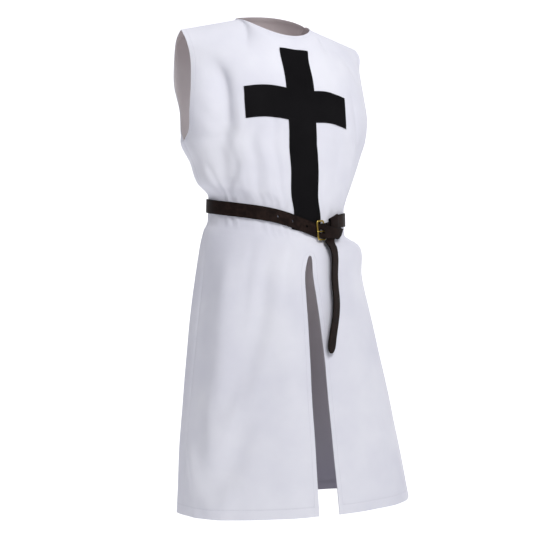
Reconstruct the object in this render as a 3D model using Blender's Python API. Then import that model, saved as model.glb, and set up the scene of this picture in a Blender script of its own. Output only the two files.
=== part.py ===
# Medieval surcoat, sleeveless, worn hollow with no wearer: front and back panels, an applied cross
# and a knotted leather belt with a brass buckle.
# Metres, +Z up. The wearer faces -Y. The origin lies midway between the neck ends of the two shoulder
# seams, where the garment hangs on the wearer's shoulders.
import math
from collections import namedtuple

import bpy
import numpy as np

# Cloth and seams
CLOTH = 0.0015
SEAM_GAP = 0.0004
CROSS_CLOTH = 0.0010
CROSS_LIFT = 0.0004

# Neck and shoulders
NECK_HALF = 0.0855
FRONT_NECK_REACH = 0.078
FRONT_NECK_DROP = 0.038
BACK_NECK_REACH = 0.062
BACK_NECK_RISE = 0.023
BACK_NECK_SKEW = 0.35
NECK_POWERS = (1.6, 1.0)
SHOULDER_TIP = (0.224, 0.004, -0.036)

# Cross on the chest: heights on the centre line, and how its arms hang: they slope down to the wearer's
# left by the first of the two drops, and the second, over the square of the distance, bends both ends down.
# Each arm arches over the breast, and the top end is arched too.
BAR_HALF = 0.0345
ARM_HALF = 0.127
CROSS_TOP = -0.0785
ARM_TOP = -0.160
ARM_BOTTOM = -0.229
CROSS_BOTTOM = -0.467
ARM_DROPS = (0.0258, 0.275)
ARM_SHIFT = -0.004
ARM_ARCH = 0.0042
TOP_ARCH = 0.019
TOP_ARCH_HALF = 0.048

# The centre line of the front wanders a little: its shift to the wearer's left at some heights, low to high
LEAN_AT = (-1.100, -0.886, -0.750, -0.600, -0.518, -0.440, -0.195, -0.040)
LEANS = (-0.0075, -0.0034, -0.0025, -0.005, -0.0085, 0.010, -0.0055, -0.001)

# Front slit: its width grows with a power of the way down from its top, which makes the top blunt
SLIT_TOP = -0.518
SLIT_WIDTH = 0.0495
SLIT_POWER = 0.35

# Closed rings round the body, from the hem to the armpit. Depths are measured from the side seams. tilt
# raises a ring towards the back and roll towards the wearer's left; dip lowers it at the front.
Ring = namedtuple("Ring", "name height shift_x seam_y half_width front back tilt roll dip")
RINGS = (
    Ring("hem", -1.059, 0.0180, -0.070, 0.285, 0.152, 0.152, 0.025, 0.006, 0.000),
    Ring("shin", -0.945, 0.0140, -0.060, 0.270, 0.147, 0.150, 0.010, 0.000, 0.000),
    Ring("thigh", -0.830, 0.0105, -0.050, 0.2515, 0.142, 0.147, 0.010, 0.000, 0.000),
    Ring("seat", -0.660, 0.009, -0.032, 0.221, 0.139, 0.143, 0.020, -0.020, 0.000),
    Ring("hip", -0.550, 0.007, -0.024, 0.199, 0.134, 0.132, 0.050, -0.040, 0.004),
    Ring("under belt", -0.477, 0.0130, -0.021, 0.186, 0.129, 0.119, 0.090, -0.060, 0.011),
    Ring("belt low", -0.450, -0.002, -0.020, 0.160, 0.122, 0.107, 0.103, -0.0655, 0.014),
    Ring("belt high", -0.404, -0.002, -0.020, 0.159, 0.122, 0.106, 0.103, -0.0655, 0.014),
    Ring("over belt", -0.374, -0.0080, -0.017, 0.178, 0.128, 0.114, 0.090, -0.060, 0.009),
    Ring("ribs", -0.325, -0.0035, -0.010, 0.1975, 0.132, 0.122, 0.050, -0.040, 0.003),
    Ring("armpit", -0.277, -0.0015, -0.003, 0.2195, 0.134, 0.122, 0.000, -0.025, 0.000),
)
BELT_RING = 6
BELT_BELOW_HIGH_RING = 0.018
DIP_AT = math.radians(12)
DIP_POWER = 6

# Rows between the armholes. turn is the angle, in degrees, that half the row bends round the body.
Open = namedtuple("Open", "name centre_y centre_z edge_x edge_y edge_z turn")
FRONT_ROWS = (
    Open("underarm", -0.136, -0.255, 0.2225, -0.027, -0.259, 82),
    Open("chest", -0.135, -0.212, 0.2260, -0.041, -0.212, 74),
    Open("upper chest", -0.125, -0.145, 0.221, -0.036, -0.150, 64),
    Open("collarbone", -0.103, -0.092, 0.217, -0.024, -0.096, 54),
)
BACK_ROWS = (
    Open("underarm", 0.122, -0.252, 0.217, 0.017, -0.258, 80),
    Open("blades", 0.119, -0.205, 0.213, 0.031, -0.212, 70),
    Open("upper back", 0.112, -0.130, 0.219, 0.050, -0.150, 60),
    Open("yoke", 0.092, -0.060, 0.221, 0.044, -0.090, 50),
)
UPPER_ROLL = -0.025

# The last row below the shoulder seam and the neckline, by how far it lies out and down from them.
Fall = namedtuple("Fall", "shoulder_out shoulder_down neck_out neck_down tip_out")
FRONT_FALL = Fall(0.030, 0.016, 0.011, 0.022, 0.016)
BACK_FALL = Fall(0.022, 0.013, 0.013, 0.024, 0.018)

# Folds. at_* is the way round in degrees of cloth, 0 at the centre front and +90 at the wearer's left
# seam; wide_* is in the same degrees. Troughs have a negative depth.
Fold = namedtuple(
    "Fold", "name top_z mid_z low_z at_top at_mid at_low wide_top wide_low depth fade_top fade_low"
)
FOLDS = (
    Fold("chest trough", -0.070, -0.170, -0.290, -75, -67, -63, 10, 8, -0.016, 0.080, 0.060),
    Fold("chest trough below the armhole", -0.235, -0.310, -0.392, -56, -62, -68, 9, 6, -0.012, 0.050, 0.040),
    Fold("ridge under the armhole", -0.250, -0.320, -0.385, -82, -80, -79, 5, 6, 0.002, 0.060, 0.035),
    Fold("trough to the belt", -0.270, -0.350, -0.392, -50, -57, -68, 5, 5, -0.006, 0.060, 0.030),
    Fold("trough by the cross", -0.220, -0.320, -0.400, -42, -37, -39, 4, 4, -0.004, 0.060, 0.030),
    Fold("left waist trough", -0.240, -0.330, -0.410, 66, 64, 70, 7, 6, -0.004, 0.060, 0.035),
    Fold("skirt side trough", -0.465, -0.700, -1.300, -86, -85, -88, 12, 14, -0.012, 0.120, 0.100),
    Fold("skirt side ridge", -0.465, -0.760, -1.020, -64, -64, -67, 7, 8, 0.007, 0.120, 0.200),
    Fold("long skirt trough", -0.462, -0.690, -0.880, -35, -43, -66, 6, 8, -0.010, 0.160, 0.100),
    Fold("low skirt trough", -0.830, -0.930, -1.040, -46, -55, -68, 6, 9, -0.010, 0.100, 0.080),
    Fold("front edge ridge", -0.560, -0.800, -1.300, -20, -22, -24, 8, 9, 0.003, 0.200, 0.100),
    Fold("left edge dent", -0.780, -0.870, -1.300, 80, 84, 86, 4, 5, -0.004, 0.080, 0.100),
    Fold("back left trough", -0.462, -0.760, -1.300, 150, 146, 143, 8, 10, -0.010, 0.160, 0.100),
    Fold("back middle ridge", -0.462, -0.760, -1.300, 178, 176, 175, 8, 10, 0.006, 0.160, 0.100),
    Fold("back right trough", -0.462, -0.740, -1.300, 208, 213, 216, 8, 10, -0.009, 0.160, 0.100),
    Fold("upper back trough left", -0.180, -0.300, -0.350, 152, 150, 156, 8, 6, -0.005, 0.080, 0.045),
    Fold("upper back trough right", -0.160, -0.280, -0.350, 212, 210, 203, 8, 6, -0.006, 0.080, 0.045),
)

# Grid of a panel: columns in half of it, and how far apart its rows may lie. The columns that end the
# cross's arms and the neckline lie this far from the centre line at the hem and at the belt.
ARM_COLUMN_AT_HEM = 0.190
ARM_COLUMN_AT_BELT = 0.110
NECK_COLUMN_AT_HEM = 0.150
NECK_COLUMN_AT_BELT = 0.090
BAR_COLUMNS = 2
ARM_COLUMNS = 7
SIDE_COLUMNS = 11
BACK_NECK_COLUMNS = 5
BACK_SIDE_COLUMNS = 9
ROW_STEP = 0.040
FINE_STEP = 0.019
FINE_REACH = 0.062

# Belt strap
BELT_WIDTH = 0.030
BELT_THICK = 0.0026
BELT_CLEAR = 0.0004
HOLE_ACROSS = 0.005
HOLES = (0.004, -0.0295, -0.063)
TIP_LENGTH = 0.020
TAIL_LENGTH = 0.333

# Knot, in metres along the belt from the centre front, up from its middle and out from its middle
LAYER = 0.0033
BACK_LAYER = -0.0007
SLOPE = math.radians(-11.2)
STRAIGHT_FROM = 0.015
FREE_BAR_ALONG = 0.0305
FREE_BAR_UP = -0.0143
STRAP_AT_BAR_UP = -0.0128
FIRST_FOLD = 0.0694
FIRST_AXIS = math.radians(54)
SECOND_AXIS = math.radians(14.6)
SECOND_FOLD_UP = 0.0135
SINK = 0.0550
TAIL_REST = 0.0050
TAIL_DRIFTS = ((-0.031, 0.024, 0.050), (0.005, 0.075, 0.080), (-0.028, 0.200, 0.150))
TAIL_TWIST = math.radians(22)

# Buckle
BUCKLE_WIRE = 0.0040
BUCKLE_PITCH = 0.0193
BUCKLE_HALF_HIGH = 0.0210
BUCKLE_CORNER = 0.0045
BUCKLE_TILT = math.radians(7)
HINGE_DEPTH = -0.0012
PRONG_WIRE = 0.0024
WIRE_PLAY = 0.0003
PRONG_SHIFT = -0.0011
CHAPE_RISE = 0.004

COLOURS = {
    "cloth": (0.82, 0.82, 0.86, 1.0, 0.85, 0.0),
    "cross_cloth": (0.008, 0.008, 0.009, 1.0, 0.9, 0.0),
    "leather": (0.030, 0.020, 0.016, 1.0, 0.5, 0.0),
    "brass": (0.55, 0.40, 0.13, 1.0, 0.3, 1.0),
}

SAMPLES = 361


def spaced_evenly(points):
    """The same line with points at even distances along it."""
    along = np.concatenate([[0], np.cumsum(np.linalg.norm(np.diff(points, axis=0), axis=1))])
    at = np.linspace(0, along[-1], SAMPLES)
    return np.stack([np.interp(at, along, points[:, k]) for k in range(3)], axis=1)


def ring_row(ring, side):
    """Half of a closed ring, from the wearer's right seam to the left one. side is -1 in front, 1 behind."""
    turn = np.linspace(-math.pi / 2, math.pi / 2, 2 * SAMPLES)
    depth = ring.front if side < 0 else ring.back
    x = ring.shift_x + ring.half_width * np.sin(turn)
    y = ring.seam_y + side * depth * np.cos(turn)
    z = ring.height + ring.tilt * (y - ring.seam_y) + ring.roll * x
    if side < 0:
        z -= ring.dip * np.clip(np.cos(turn - DIP_AT), 0, 1) ** DIP_POWER
    return np.stack([x, y, z], axis=1)


def open_row(row):
    """A row of one panel from armhole to armhole, bent through twice row.turn."""
    limit = math.radians(row.turn)
    turn = np.linspace(-limit, limit, 2 * SAMPLES)
    inward = (np.cos(turn) - math.cos(limit)) / (1 - math.cos(limit))
    x = row.edge_x * np.sin(turn) / math.sin(limit)
    y = row.edge_y + (row.centre_y - row.edge_y) * inward
    z = row.edge_z + (row.centre_z - row.edge_z) * inward + UPPER_ROLL * x
    return np.stack([x, y, z], axis=1)


def top_row(side):
    """Shoulder seam, neckline and shoulder seam, from the wearer's right to the left."""
    reach = FRONT_NECK_REACH if side < 0 else BACK_NECK_REACH
    rise = -FRONT_NECK_DROP if side < 0 else BACK_NECK_RISE
    turn = np.linspace(-math.pi / 2, math.pi / 2, SAMPLES)
    power = NECK_POWERS[0 if side < 0 else 1]
    skew = 1 + (0 if side < 0 else BACK_NECK_SKEW) * np.sin(turn)
    neck = [NECK_HALF * np.sin(turn), side * reach * np.cos(turn), skew * rise * np.cos(turn) ** power]
    neck = np.stack(neck, axis=1)
    tip = np.array(SHOULDER_TIP)
    left = neck[-1] + np.linspace(0, 1, SAMPLES // 2)[1:, None] * (tip - neck[-1])
    right = (left * (-1, 1, 1))[::-1]
    line = np.concatenate([right, neck, left])
    line[:, 2] += UPPER_ROLL * line[:, 0]
    return line


def fall_row(side):
    """The row just below the top row, where the cloth has come over the shoulder."""
    fall = FRONT_FALL if side < 0 else BACK_FALL
    line = top_row(side)
    across = np.abs(line[:, 0])
    in_neck = np.clip(1 - across / NECK_HALF, 0, 1) ** 0.7
    at_tip = np.clip((across - NECK_HALF) / (SHOULDER_TIP[0] - NECK_HALF), 0, 1) ** 2
    out = fall.shoulder_out + (fall.neck_out - fall.shoulder_out) * in_neck
    out = out + (fall.tip_out - fall.shoulder_out) * at_tip
    down = fall.shoulder_down + (fall.neck_down - fall.shoulder_down) * in_neck
    return line + np.stack([0 * out, side * out, -down], axis=1)


class Panel:
    """The smooth outer surface of the front (side -1) or the back (side 1)."""

    def __init__(self, side):
        self.side = side
        rows = [ring_row(ring, side) for ring in RINGS]
        rows += [open_row(row) for row in (FRONT_ROWS if side < 0 else BACK_ROWS)]
        rows += [fall_row(side), top_row(side)]
        self.rows = np.stack([spaced_evenly(row) for row in rows])
        steps = np.linalg.norm(np.diff(self.rows, axis=0), axis=2)
        armpit = len(RINGS) - 1
        steps = np.concatenate([steps[:armpit, [0, -1]].mean(axis=1), steps[armpit:].mean(axis=1)])
        self.steps = steps
        self.knots = np.concatenate([[0], np.cumsum(steps)])
        self.armpit = self.knots[armpit]
        self.belt = self.knots[BELT_RING + 1] - BELT_BELOW_HIGH_RING
        self.top = self.knots[-1]
        gaps = np.diff(self.rows, axis=0) / steps[:, None, None]
        before, after = steps[:-1, None, None], steps[1:, None, None]
        between = (gaps[:-1] * after + gaps[1:] * before) / (before + after)
        slopes = np.concatenate([gaps[:1], between, gaps[-1:]])
        # The belt holds the cloth flat between its two rings.
        slopes[BELT_RING:BELT_RING + 2] = gaps[BELT_RING]
        # Where the side seam ends, each panel's edge turns off round the armhole.
        at_edge = np.abs(np.linspace(-1, 1, SAMPLES))[:, None] ** 12
        self.leaving, self.arriving = slopes.copy(), slopes.copy()
        self.arriving[armpit] += (gaps[armpit - 1] - slopes[armpit]) * at_edge
        self.leaving[armpit] += (gaps[armpit] - slopes[armpit]) * at_edge

    def row(self, t):
        """The row at the distance t up from the hem, as evenly spaced points, and half its length."""
        k = int(np.clip(np.searchsorted(self.knots, t) - 1, 0, len(self.steps) - 1))
        span = self.steps[k]
        u = (t - self.knots[k]) / span
        points = (
            (2 * u ** 3 - 3 * u ** 2 + 1) * self.rows[k]
            + (u ** 3 - 2 * u ** 2 + u) * span * self.leaving[k]
            + (3 * u ** 2 - 2 * u ** 3) * self.rows[k + 1]
            + (u ** 3 - u ** 2) * span * self.arriving[k + 1]
        )
        return points, np.linalg.norm(np.diff(points, axis=0), axis=1).sum() / 2

    def point(self, across, t, folded=True):
        """The point at the distance across from the centre line, in the row t."""
        points, half = self.row(t)
        share = np.clip(across / half, -1, 1)
        at = (share + 1) / 2 * (SAMPLES - 1)
        place = np.array([np.interp(at, np.arange(SAMPLES), points[:, k]) for k in range(3)])
        if not folded:
            return place
        round_at = 90 * share if self.side < 0 else 180 - 90 * share
        return place + fold_depth(round_at, place[2]) * outward(round_at)

    def at_height(self, z):
        """The t at which the centre line has the height z."""
        low, high = 0.0, self.top
        for _ in range(30):
            t = (low + high) / 2
            if self.row(t)[0][SAMPLES // 2, 2] < z:
                low = t
            else:
                high = t
        return (low + high) / 2


def smooth(x):
    x = np.clip(x, 0, 1)
    return x * x * (3 - 2 * x)


def fold_depth(at, z):
    """How far the folds move the cloth out, at the way round at in degrees and at the height z."""
    moved = 0.0
    for fold in FOLDS:
        down = np.clip((fold.top_z - z) / (fold.top_z - fold.low_z), 0, 1)
        middle = (fold.top_z - fold.mid_z) / (fold.top_z - fold.low_z)
        run = fold.at_low - fold.at_top
        bend = (fold.at_mid - fold.at_top - run * middle) / (middle * (1 - middle))
        line = fold.at_top + run * down + bend * down * (1 - down)
        wide = fold.wide_top + (fold.wide_low - fold.wide_top) * down
        off = (at - line + 180) % 360 - 180
        ends = smooth((fold.top_z - z) / fold.fade_top) * smooth((z - fold.low_z) / fold.fade_low)
        moved += fold.depth * ends * math.exp(-((off / wide) ** 2))
    return moved


def outward(at):
    """The level direction out of the body at the way round at, in degrees."""
    return np.array([math.sin(math.radians(at)), -math.cos(math.radians(at)), 0.0])


def slit_half(z, hem_z):
    """Half the slit's width at the height z."""
    down = max(SLIT_TOP - z, 0) / (SLIT_TOP - hem_z)
    return SLIT_WIDTH / 2 * down ** SLIT_POWER


def row_places(start, end, fixed, belt):
    """The t of the rows from start to end: the fixed ones, and others between them, closer near the belt."""
    stops = sorted({start, end, *[t for t in fixed if start < t < end]})
    places = [start]
    for low, high in zip(stops, stops[1:]):
        near = abs((low + high) / 2 - belt) < FINE_REACH + (high - low) / 2
        count = max(1, math.ceil((high - low) / (FINE_STEP if near and high - low < 0.1 else ROW_STEP)))
        places += [low + (high - low) * (k + 1) / count for k in range(count)]
    return places


def front_columns(front, t, half):
    """Distances from the centre line to the columns of the wearer's left half, in the row t."""
    gap = slit_half(front.row(t)[0][SAMPLES // 2, 2], RINGS[0].height) if t < front.slit else 0.0
    neck = front.neck_share * front.row(front.top)[1]
    stops = [0, front.belt, front.arm_bottom, front.arm_top, front.top]
    arm = np.interp(t, stops, [ARM_COLUMN_AT_HEM, ARM_COLUMN_AT_BELT, ARM_HALF, ARM_HALF, neck])
    bar = gap + BAR_HALF
    return np.concatenate([
        np.linspace(gap, bar, BAR_COLUMNS + 1),
        np.linspace(bar, arm, ARM_COLUMNS + 1)[1:],
        np.linspace(arm, half, SIDE_COLUMNS + 1)[1:],
    ])


def neck_share(panel):
    """The share of half the top row that the neckline takes."""
    half = panel.rows[-1][SAMPLES // 2:]
    return float(np.interp(NECK_HALF, half[:, 0], np.linspace(0, 1, len(half))))


def front_grid(front):
    """Points and faces of the front panel, with the index of each point by row and column."""
    front.neck_share = neck_share(front)
    front.slit = front.at_height(SLIT_TOP)
    front.arm_top = front.at_height(ARM_TOP)
    front.arm_bottom = front.at_height(ARM_BOTTOM)
    front.cross_top = front.at_height(CROSS_TOP)
    fixed = [front.slit, front.arm_top, front.arm_bottom, front.cross_top]
    fixed += [front.at_height(CROSS_BOTTOM), front.belt, front.armpit]
    fixed += [front.belt + step for step in (-FINE_REACH, -FINE_STEP, FINE_STEP, FINE_REACH)]
    # The rows close under the top of the slit follow its rounded end.
    fixed += [front.slit - step for step in (0.001, 0.004, 0.012)]
    rows = row_places(0.0, front.top, fixed, front.belt)
    points, faces, seam = [], [], []
    left, right = [], []
    for t in rows:
        points_across, half = front.row(t)
        lean = np.interp(points_across[SAMPLES // 2, 2], LEAN_AT, LEANS)
        crown = np.interp(t, [front.arm_top, front.cross_top, front.top], [0, 1, 0])
        across = front_columns(front, t, half)
        split = across[0] > 0
        columns = np.concatenate([-across[::-1] if split else -across[:0:-1], across])
        first = len(points)
        for d in columns:
            share = d / half
            droop = np.interp(t, [front.belt, front.arm_bottom, front.arm_top, front.top], [0, 1, 1, 0])
            out = np.clip(d, -ARM_HALF, ARM_HALF)
            arm = np.clip((abs(d) - BAR_HALF) / (ARM_HALF - BAR_HALF), 0, 1)
            hang = ARM_DROPS[0] * out + ARM_DROPS[1] * out ** 2 - ARM_ARCH * math.sin(math.pi * arm)
            drop = hang * droop * (1 - share ** 4) - TOP_ARCH * crown * max(1 - (d / TOP_ARCH_HALF) ** 2, 0)
            moved = lean * (1 - share ** 2) + ARM_SHIFT * arm * droop * (1 - share ** 4)
            place = front.point(d + moved, t - drop)
            on_seam = abs(share) > 1 - 1e-9 and t <= front.armpit + 1e-9
            on_seam = on_seam or (t == rows[-1] and abs(share) >= front.neck_share - 1e-6)
            place[1] -= SEAM_GAP / 2 if on_seam else 0
            points.append(place)
            seam.append(on_seam)
        count = len(across)
        centre = first + count - 1
        left.append(list(range(first, first + count)))
        right.append(list(range(centre + 1 if split else centre, len(points))))
    for half_rows in (left, right):
        for low, high in zip(half_rows, half_rows[1:]):
            faces += [(low[c], low[c + 1], high[c + 1], high[c]) for c in range(len(low) - 1)]
    return rows, np.array(points), faces, np.array(seam), left, right


def back_grid(back, front_rows):
    """Points and faces of the back panel. Up to the armpit its rows are the front's."""
    share = neck_share(back)
    rows = [t for t in front_rows if t < back.armpit - 1e-9]
    rows += row_places(back.armpit, back.top, back.knots[len(RINGS):-1], back.belt)
    top_split = share * back.row(back.top)[1]
    points, faces, seam = [], [], []
    count = 2 * (BACK_NECK_COLUMNS + BACK_SIDE_COLUMNS) + 1
    for t in rows:
        half = back.row(t)[1]
        middle = np.interp(t, [0, back.belt, back.top], [NECK_COLUMN_AT_HEM, NECK_COLUMN_AT_BELT, top_split])
        across = np.concatenate([
            np.linspace(0, middle, BACK_NECK_COLUMNS + 1),
            np.linspace(middle, half, BACK_SIDE_COLUMNS + 1)[1:],
        ])
        for d in np.concatenate([-across[:0:-1], across]):
            place = back.point(d, t)
            on_seam = abs(d) > half - 1e-9 and t <= back.armpit + 1e-9
            on_seam = on_seam or (t == rows[-1] and abs(d) / half >= share - 1e-6)
            place[1] += SEAM_GAP / 2 if on_seam else 0
            points.append(place)
            seam.append(on_seam)
    for j in range(len(rows) - 1):
        for c in range(count - 1):
            low, high = j * count + c, (j + 1) * count + c
            faces.append((low, high, high + 1, low + 1))
    return np.array(points), faces, np.array(seam)


def normals_of(points, faces, seam):
    """The normal at each point. At a seam it has no part across the seam, so that the panels never meet."""
    corners = points[np.array(faces)]
    facing = np.cross(corners[:, 2] - corners[:, 0], corners[:, 3] - corners[:, 1])
    normals = np.zeros_like(points)
    for k in range(4):
        np.add.at(normals, np.array(faces)[:, k], facing)
    normals[seam, 1] = 0
    return normals / np.linalg.norm(normals, axis=1)[:, None]


def material(name):
    red, green, blue, alpha, roughness, metallic = COLOURS[name]
    made = bpy.data.materials.get(name) or bpy.data.materials.new(name)
    made.use_nodes = True
    shader = made.node_tree.nodes["Principled BSDF"]
    shader.inputs["Base Color"].default_value = (red, green, blue, alpha)
    shader.inputs["Roughness"].default_value = roughness
    shader.inputs["Metallic"].default_value = metallic
    return made


def add_object(name, data, finish):
    data.materials.append(material(finish))
    made = bpy.data.objects.new(name, data)
    bpy.context.collection.objects.link(made)
    return made


def add_wall(name, outer, inner, faces, finish):
    """A closed wall between two sheets of points that share their faces, with a rim round every edge.

    Each face is cut along the same diagonal, so that a piece laid on another has the same flats."""
    count = len(outer)
    faces = [half for a, b, c, d in faces for half in ((a, b, c), (a, c, d))]
    edges = {pair for face in faces for pair in zip(face, face[1:] + face[:1])}
    rims = [(b, a, a + count, b + count) for a, b in edges if (b, a) not in edges]
    backs = [tuple(k + count for k in face[::-1]) for face in faces]
    used = sorted({k for face in faces for k in face})
    number = {k: n for n, k in enumerate(used + [k + count for k in used])}
    corners = np.concatenate([outer, inner])[list(number)]
    mesh = bpy.data.meshes.new(name)
    walls = [[number[k] for k in face] for face in [*faces, *backs, *sorted(rims)]]
    mesh.from_pydata(corners.tolist(), [], walls)
    mesh.shade_smooth()
    mesh.set_sharp_from_angle(angle=math.radians(50))
    return add_object(name, mesh, finish)


def add_cross(points, normals, rows, left, right, front):
    """The cross lies on the front panel's own grid."""
    heights = [front.row(t)[0][SAMPLES // 2, 2] for t in rows]
    kept = []
    for j, (low_z, high_z) in enumerate(zip(heights, heights[1:])):
        middle = (low_z + high_z) / 2
        if not CROSS_BOTTOM < middle < CROSS_TOP:
            continue
        reach = BAR_COLUMNS + ARM_COLUMNS if ARM_BOTTOM < middle < ARM_TOP else BAR_COLUMNS
        for low, high in ((left[j][-reach - 1:], left[j + 1][-reach - 1:]), (right[j], right[j + 1])):
            kept += [(low[c], low[c + 1], high[c + 1], high[c]) for c in range(reach)]
    inner = points + normals * CROSS_LIFT
    outer = points + normals * (CROSS_LIFT + CROSS_CLOTH)
    add_wall("cross_applique", outer, inner, kept, "cross_cloth")


class Waist:
    """Places on the garment by the distance along the belt from the centre front, up and out from its middle.

    Near the knot the distance along stays the same above and below the belt."""

    def __init__(self, front, back):
        self.front, self.back = front, back
        self.front_half = front.row(front.belt)[1]
        self.back_half = back.row(back.belt)[1]
        self.length = 2 * (self.front_half + self.back_half)
        self.stand = CROSS_LIFT + CROSS_CLOTH + BELT_CLEAR + BELT_THICK / 2
        self.near_from, self.near_over = 0.16, 0.06

    def cloth(self, along, up, folded):
        along = (along + self.front_half) % self.length - self.front_half
        if along <= self.front_half:
            t = self.front.belt + up
            near = smooth((self.near_from - abs(along)) / self.near_over)
            widened = 1 + (self.front_half / self.front.row(t)[1] - 1) * near
            share = along / self.front_half * widened
            return self.front.point(share * self.front.row(t)[1], t, folded)
        t = self.back.belt + up
        share = 1 - (along - self.front_half) / self.back_half
        return self.back.point(share * self.back.row(t)[1], t, folded)

    def place(self, spot):
        along, up, out = spot
        step = 0.002
        over = self.cloth(along + step, up, False) - self.cloth(along - step, up, False)
        rise = self.cloth(along, up + step, False) - self.cloth(along, up - step, False)
        normal = np.cross(over, rise)
        normal /= np.linalg.norm(normal)
        return self.cloth(along, up, True) + normal * (self.stand + out)


def heading(angle):
    return np.array([math.cos(angle), math.sin(angle), 0.0])


OUT = np.array([0.0, 0.0, 1.0])
Station = namedtuple("Station", "centre along ruling normal width holed")


def station(centre, along, ruling, normal=OUT, width=BELT_WIDTH, holed=False):
    """A line across the strap. ruling is its direction, and holed opens the middle from here to the next."""
    return Station(np.asarray(centre, float), along, ruling, normal, width, holed)


def turn_over(last, axis, radius, toward, steps=6):
    """Stations that fold the strap over about a slanting axis in the belt's plane, as paper folds."""
    forward = np.array([axis[1], -axis[0], 0.0])
    forward *= math.copysign(1, last.along @ forward)
    beside, ahead = last.along @ axis, last.along @ forward
    sense = last.normal @ toward
    made = []
    for k in range(1, steps + 1):
        angle = math.pi * k / steps
        slip = beside / ahead * radius * angle * axis
        centre = last.centre + slip + radius * (math.sin(angle) * forward + (1 - math.cos(angle)) * toward)
        normal = last.normal * math.cos(angle) - sense * forward * math.sin(angle)
        made.append(station(centre, beside * axis - ahead * forward, axis, normal))
    return made


def strap_dip(past):
    """How far the strap lies below the belt's level on its way to the buckle, past the centre front."""
    slope = math.tan(SLOPE)
    at_start = STRAP_AT_BAR_UP + slope * (STRAIGHT_FROM - FREE_BAR_ALONG)
    if past > STRAIGHT_FROM:
        return at_start + slope * (past - STRAIGHT_FROM)
    return at_start * max(1 + (past - STRAIGHT_FROM) * slope / (2 * at_start), 0) ** 2


def buckle_axes():
    """The buckle's directions, its free bar's middle on the belt and its hinge bar's axis."""
    hinge_way, bar_way = heading(BUCKLE_TILT), heading(BUCKLE_TILT + math.pi / 2)
    free = np.array([FREE_BAR_ALONG, FREE_BAR_UP, 0])
    eye = BUCKLE_WIRE / 2 + WIRE_PLAY + BELT_THICK / 2
    return hinge_way, bar_way, free, free + BUCKLE_PITCH * hinge_way + (HINGE_DEPTH + eye) * OUT


def chape_up(hinge_up, step):
    """How far above the belt's level the strap lies, at the distance step past the hinge bar."""
    risen = CHAPE_RISE * smooth(step / 0.05) * (1 - smooth((step - 0.06) / 0.07))
    return hinge_up * (1 - smooth(step / 0.06)) + risen


def eye_and_chape():
    """The strap's end round the hinge bar, open in its middle for the prong, and on over the back layer."""
    hinge_way, bar_way, _, hinge = buckle_axes()
    radius = hinge[2] - HINGE_DEPTH
    made = []
    for degrees in (20, 60, 100, 140, 180, 220, 270):
        away = math.cos(math.radians(degrees)) * hinge_way + math.sin(math.radians(degrees)) * OUT
        made.append(station(hinge + radius * away, hinge_way, bar_way, -away, holed=True))
    for step in (0.0055, 0.009, 0.013, 0.018, 0.028, 0.040, 0.054, 0.068, 0.080, 0.092, 0.105, 0.125):
        up = chape_up(hinge[1], step)
        level = HINGE_DEPTH + (BACK_LAYER + LAYER - HINGE_DEPTH) * smooth((step - 0.005) / 0.011)
        level *= 1 - smooth((step - 0.072) / 0.030)
        lean = BUCKLE_TILT * (1 - smooth(step / 0.03)) + math.pi / 2
        slope = (chape_up(hinge[1], step + 0.001) - up) / 0.001
        made.append(station([hinge[0] + step, up, level], heading(math.atan(slope)), heading(lean)))
    return made


def round_body(start, length):
    """The strap round the body to just before the buckle, with its spare holes."""
    upright = heading(math.pi / 2)
    edges = {hole + side * HOLE_ACROSS / 2: side < 0 for hole in HOLES for side in (-1, 1)}
    first, last = start + 0.02, length - 0.085
    places = {x: False for x in np.linspace(first, last, math.ceil((last - first) / 0.021))}
    places.update({length + x: edges.get(x, False) for x in (*edges, -0.056, -0.045, -0.023, -0.012)})
    made = []
    for x in sorted(places):
        past = x - length
        slope = (strap_dip(past + 0.0005) - strap_dip(past - 0.0005)) / 0.001
        made.append(station([x, strap_dip(past), 0], heading(math.atan(slope)), upright, holed=places[x]))
    return made


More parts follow.
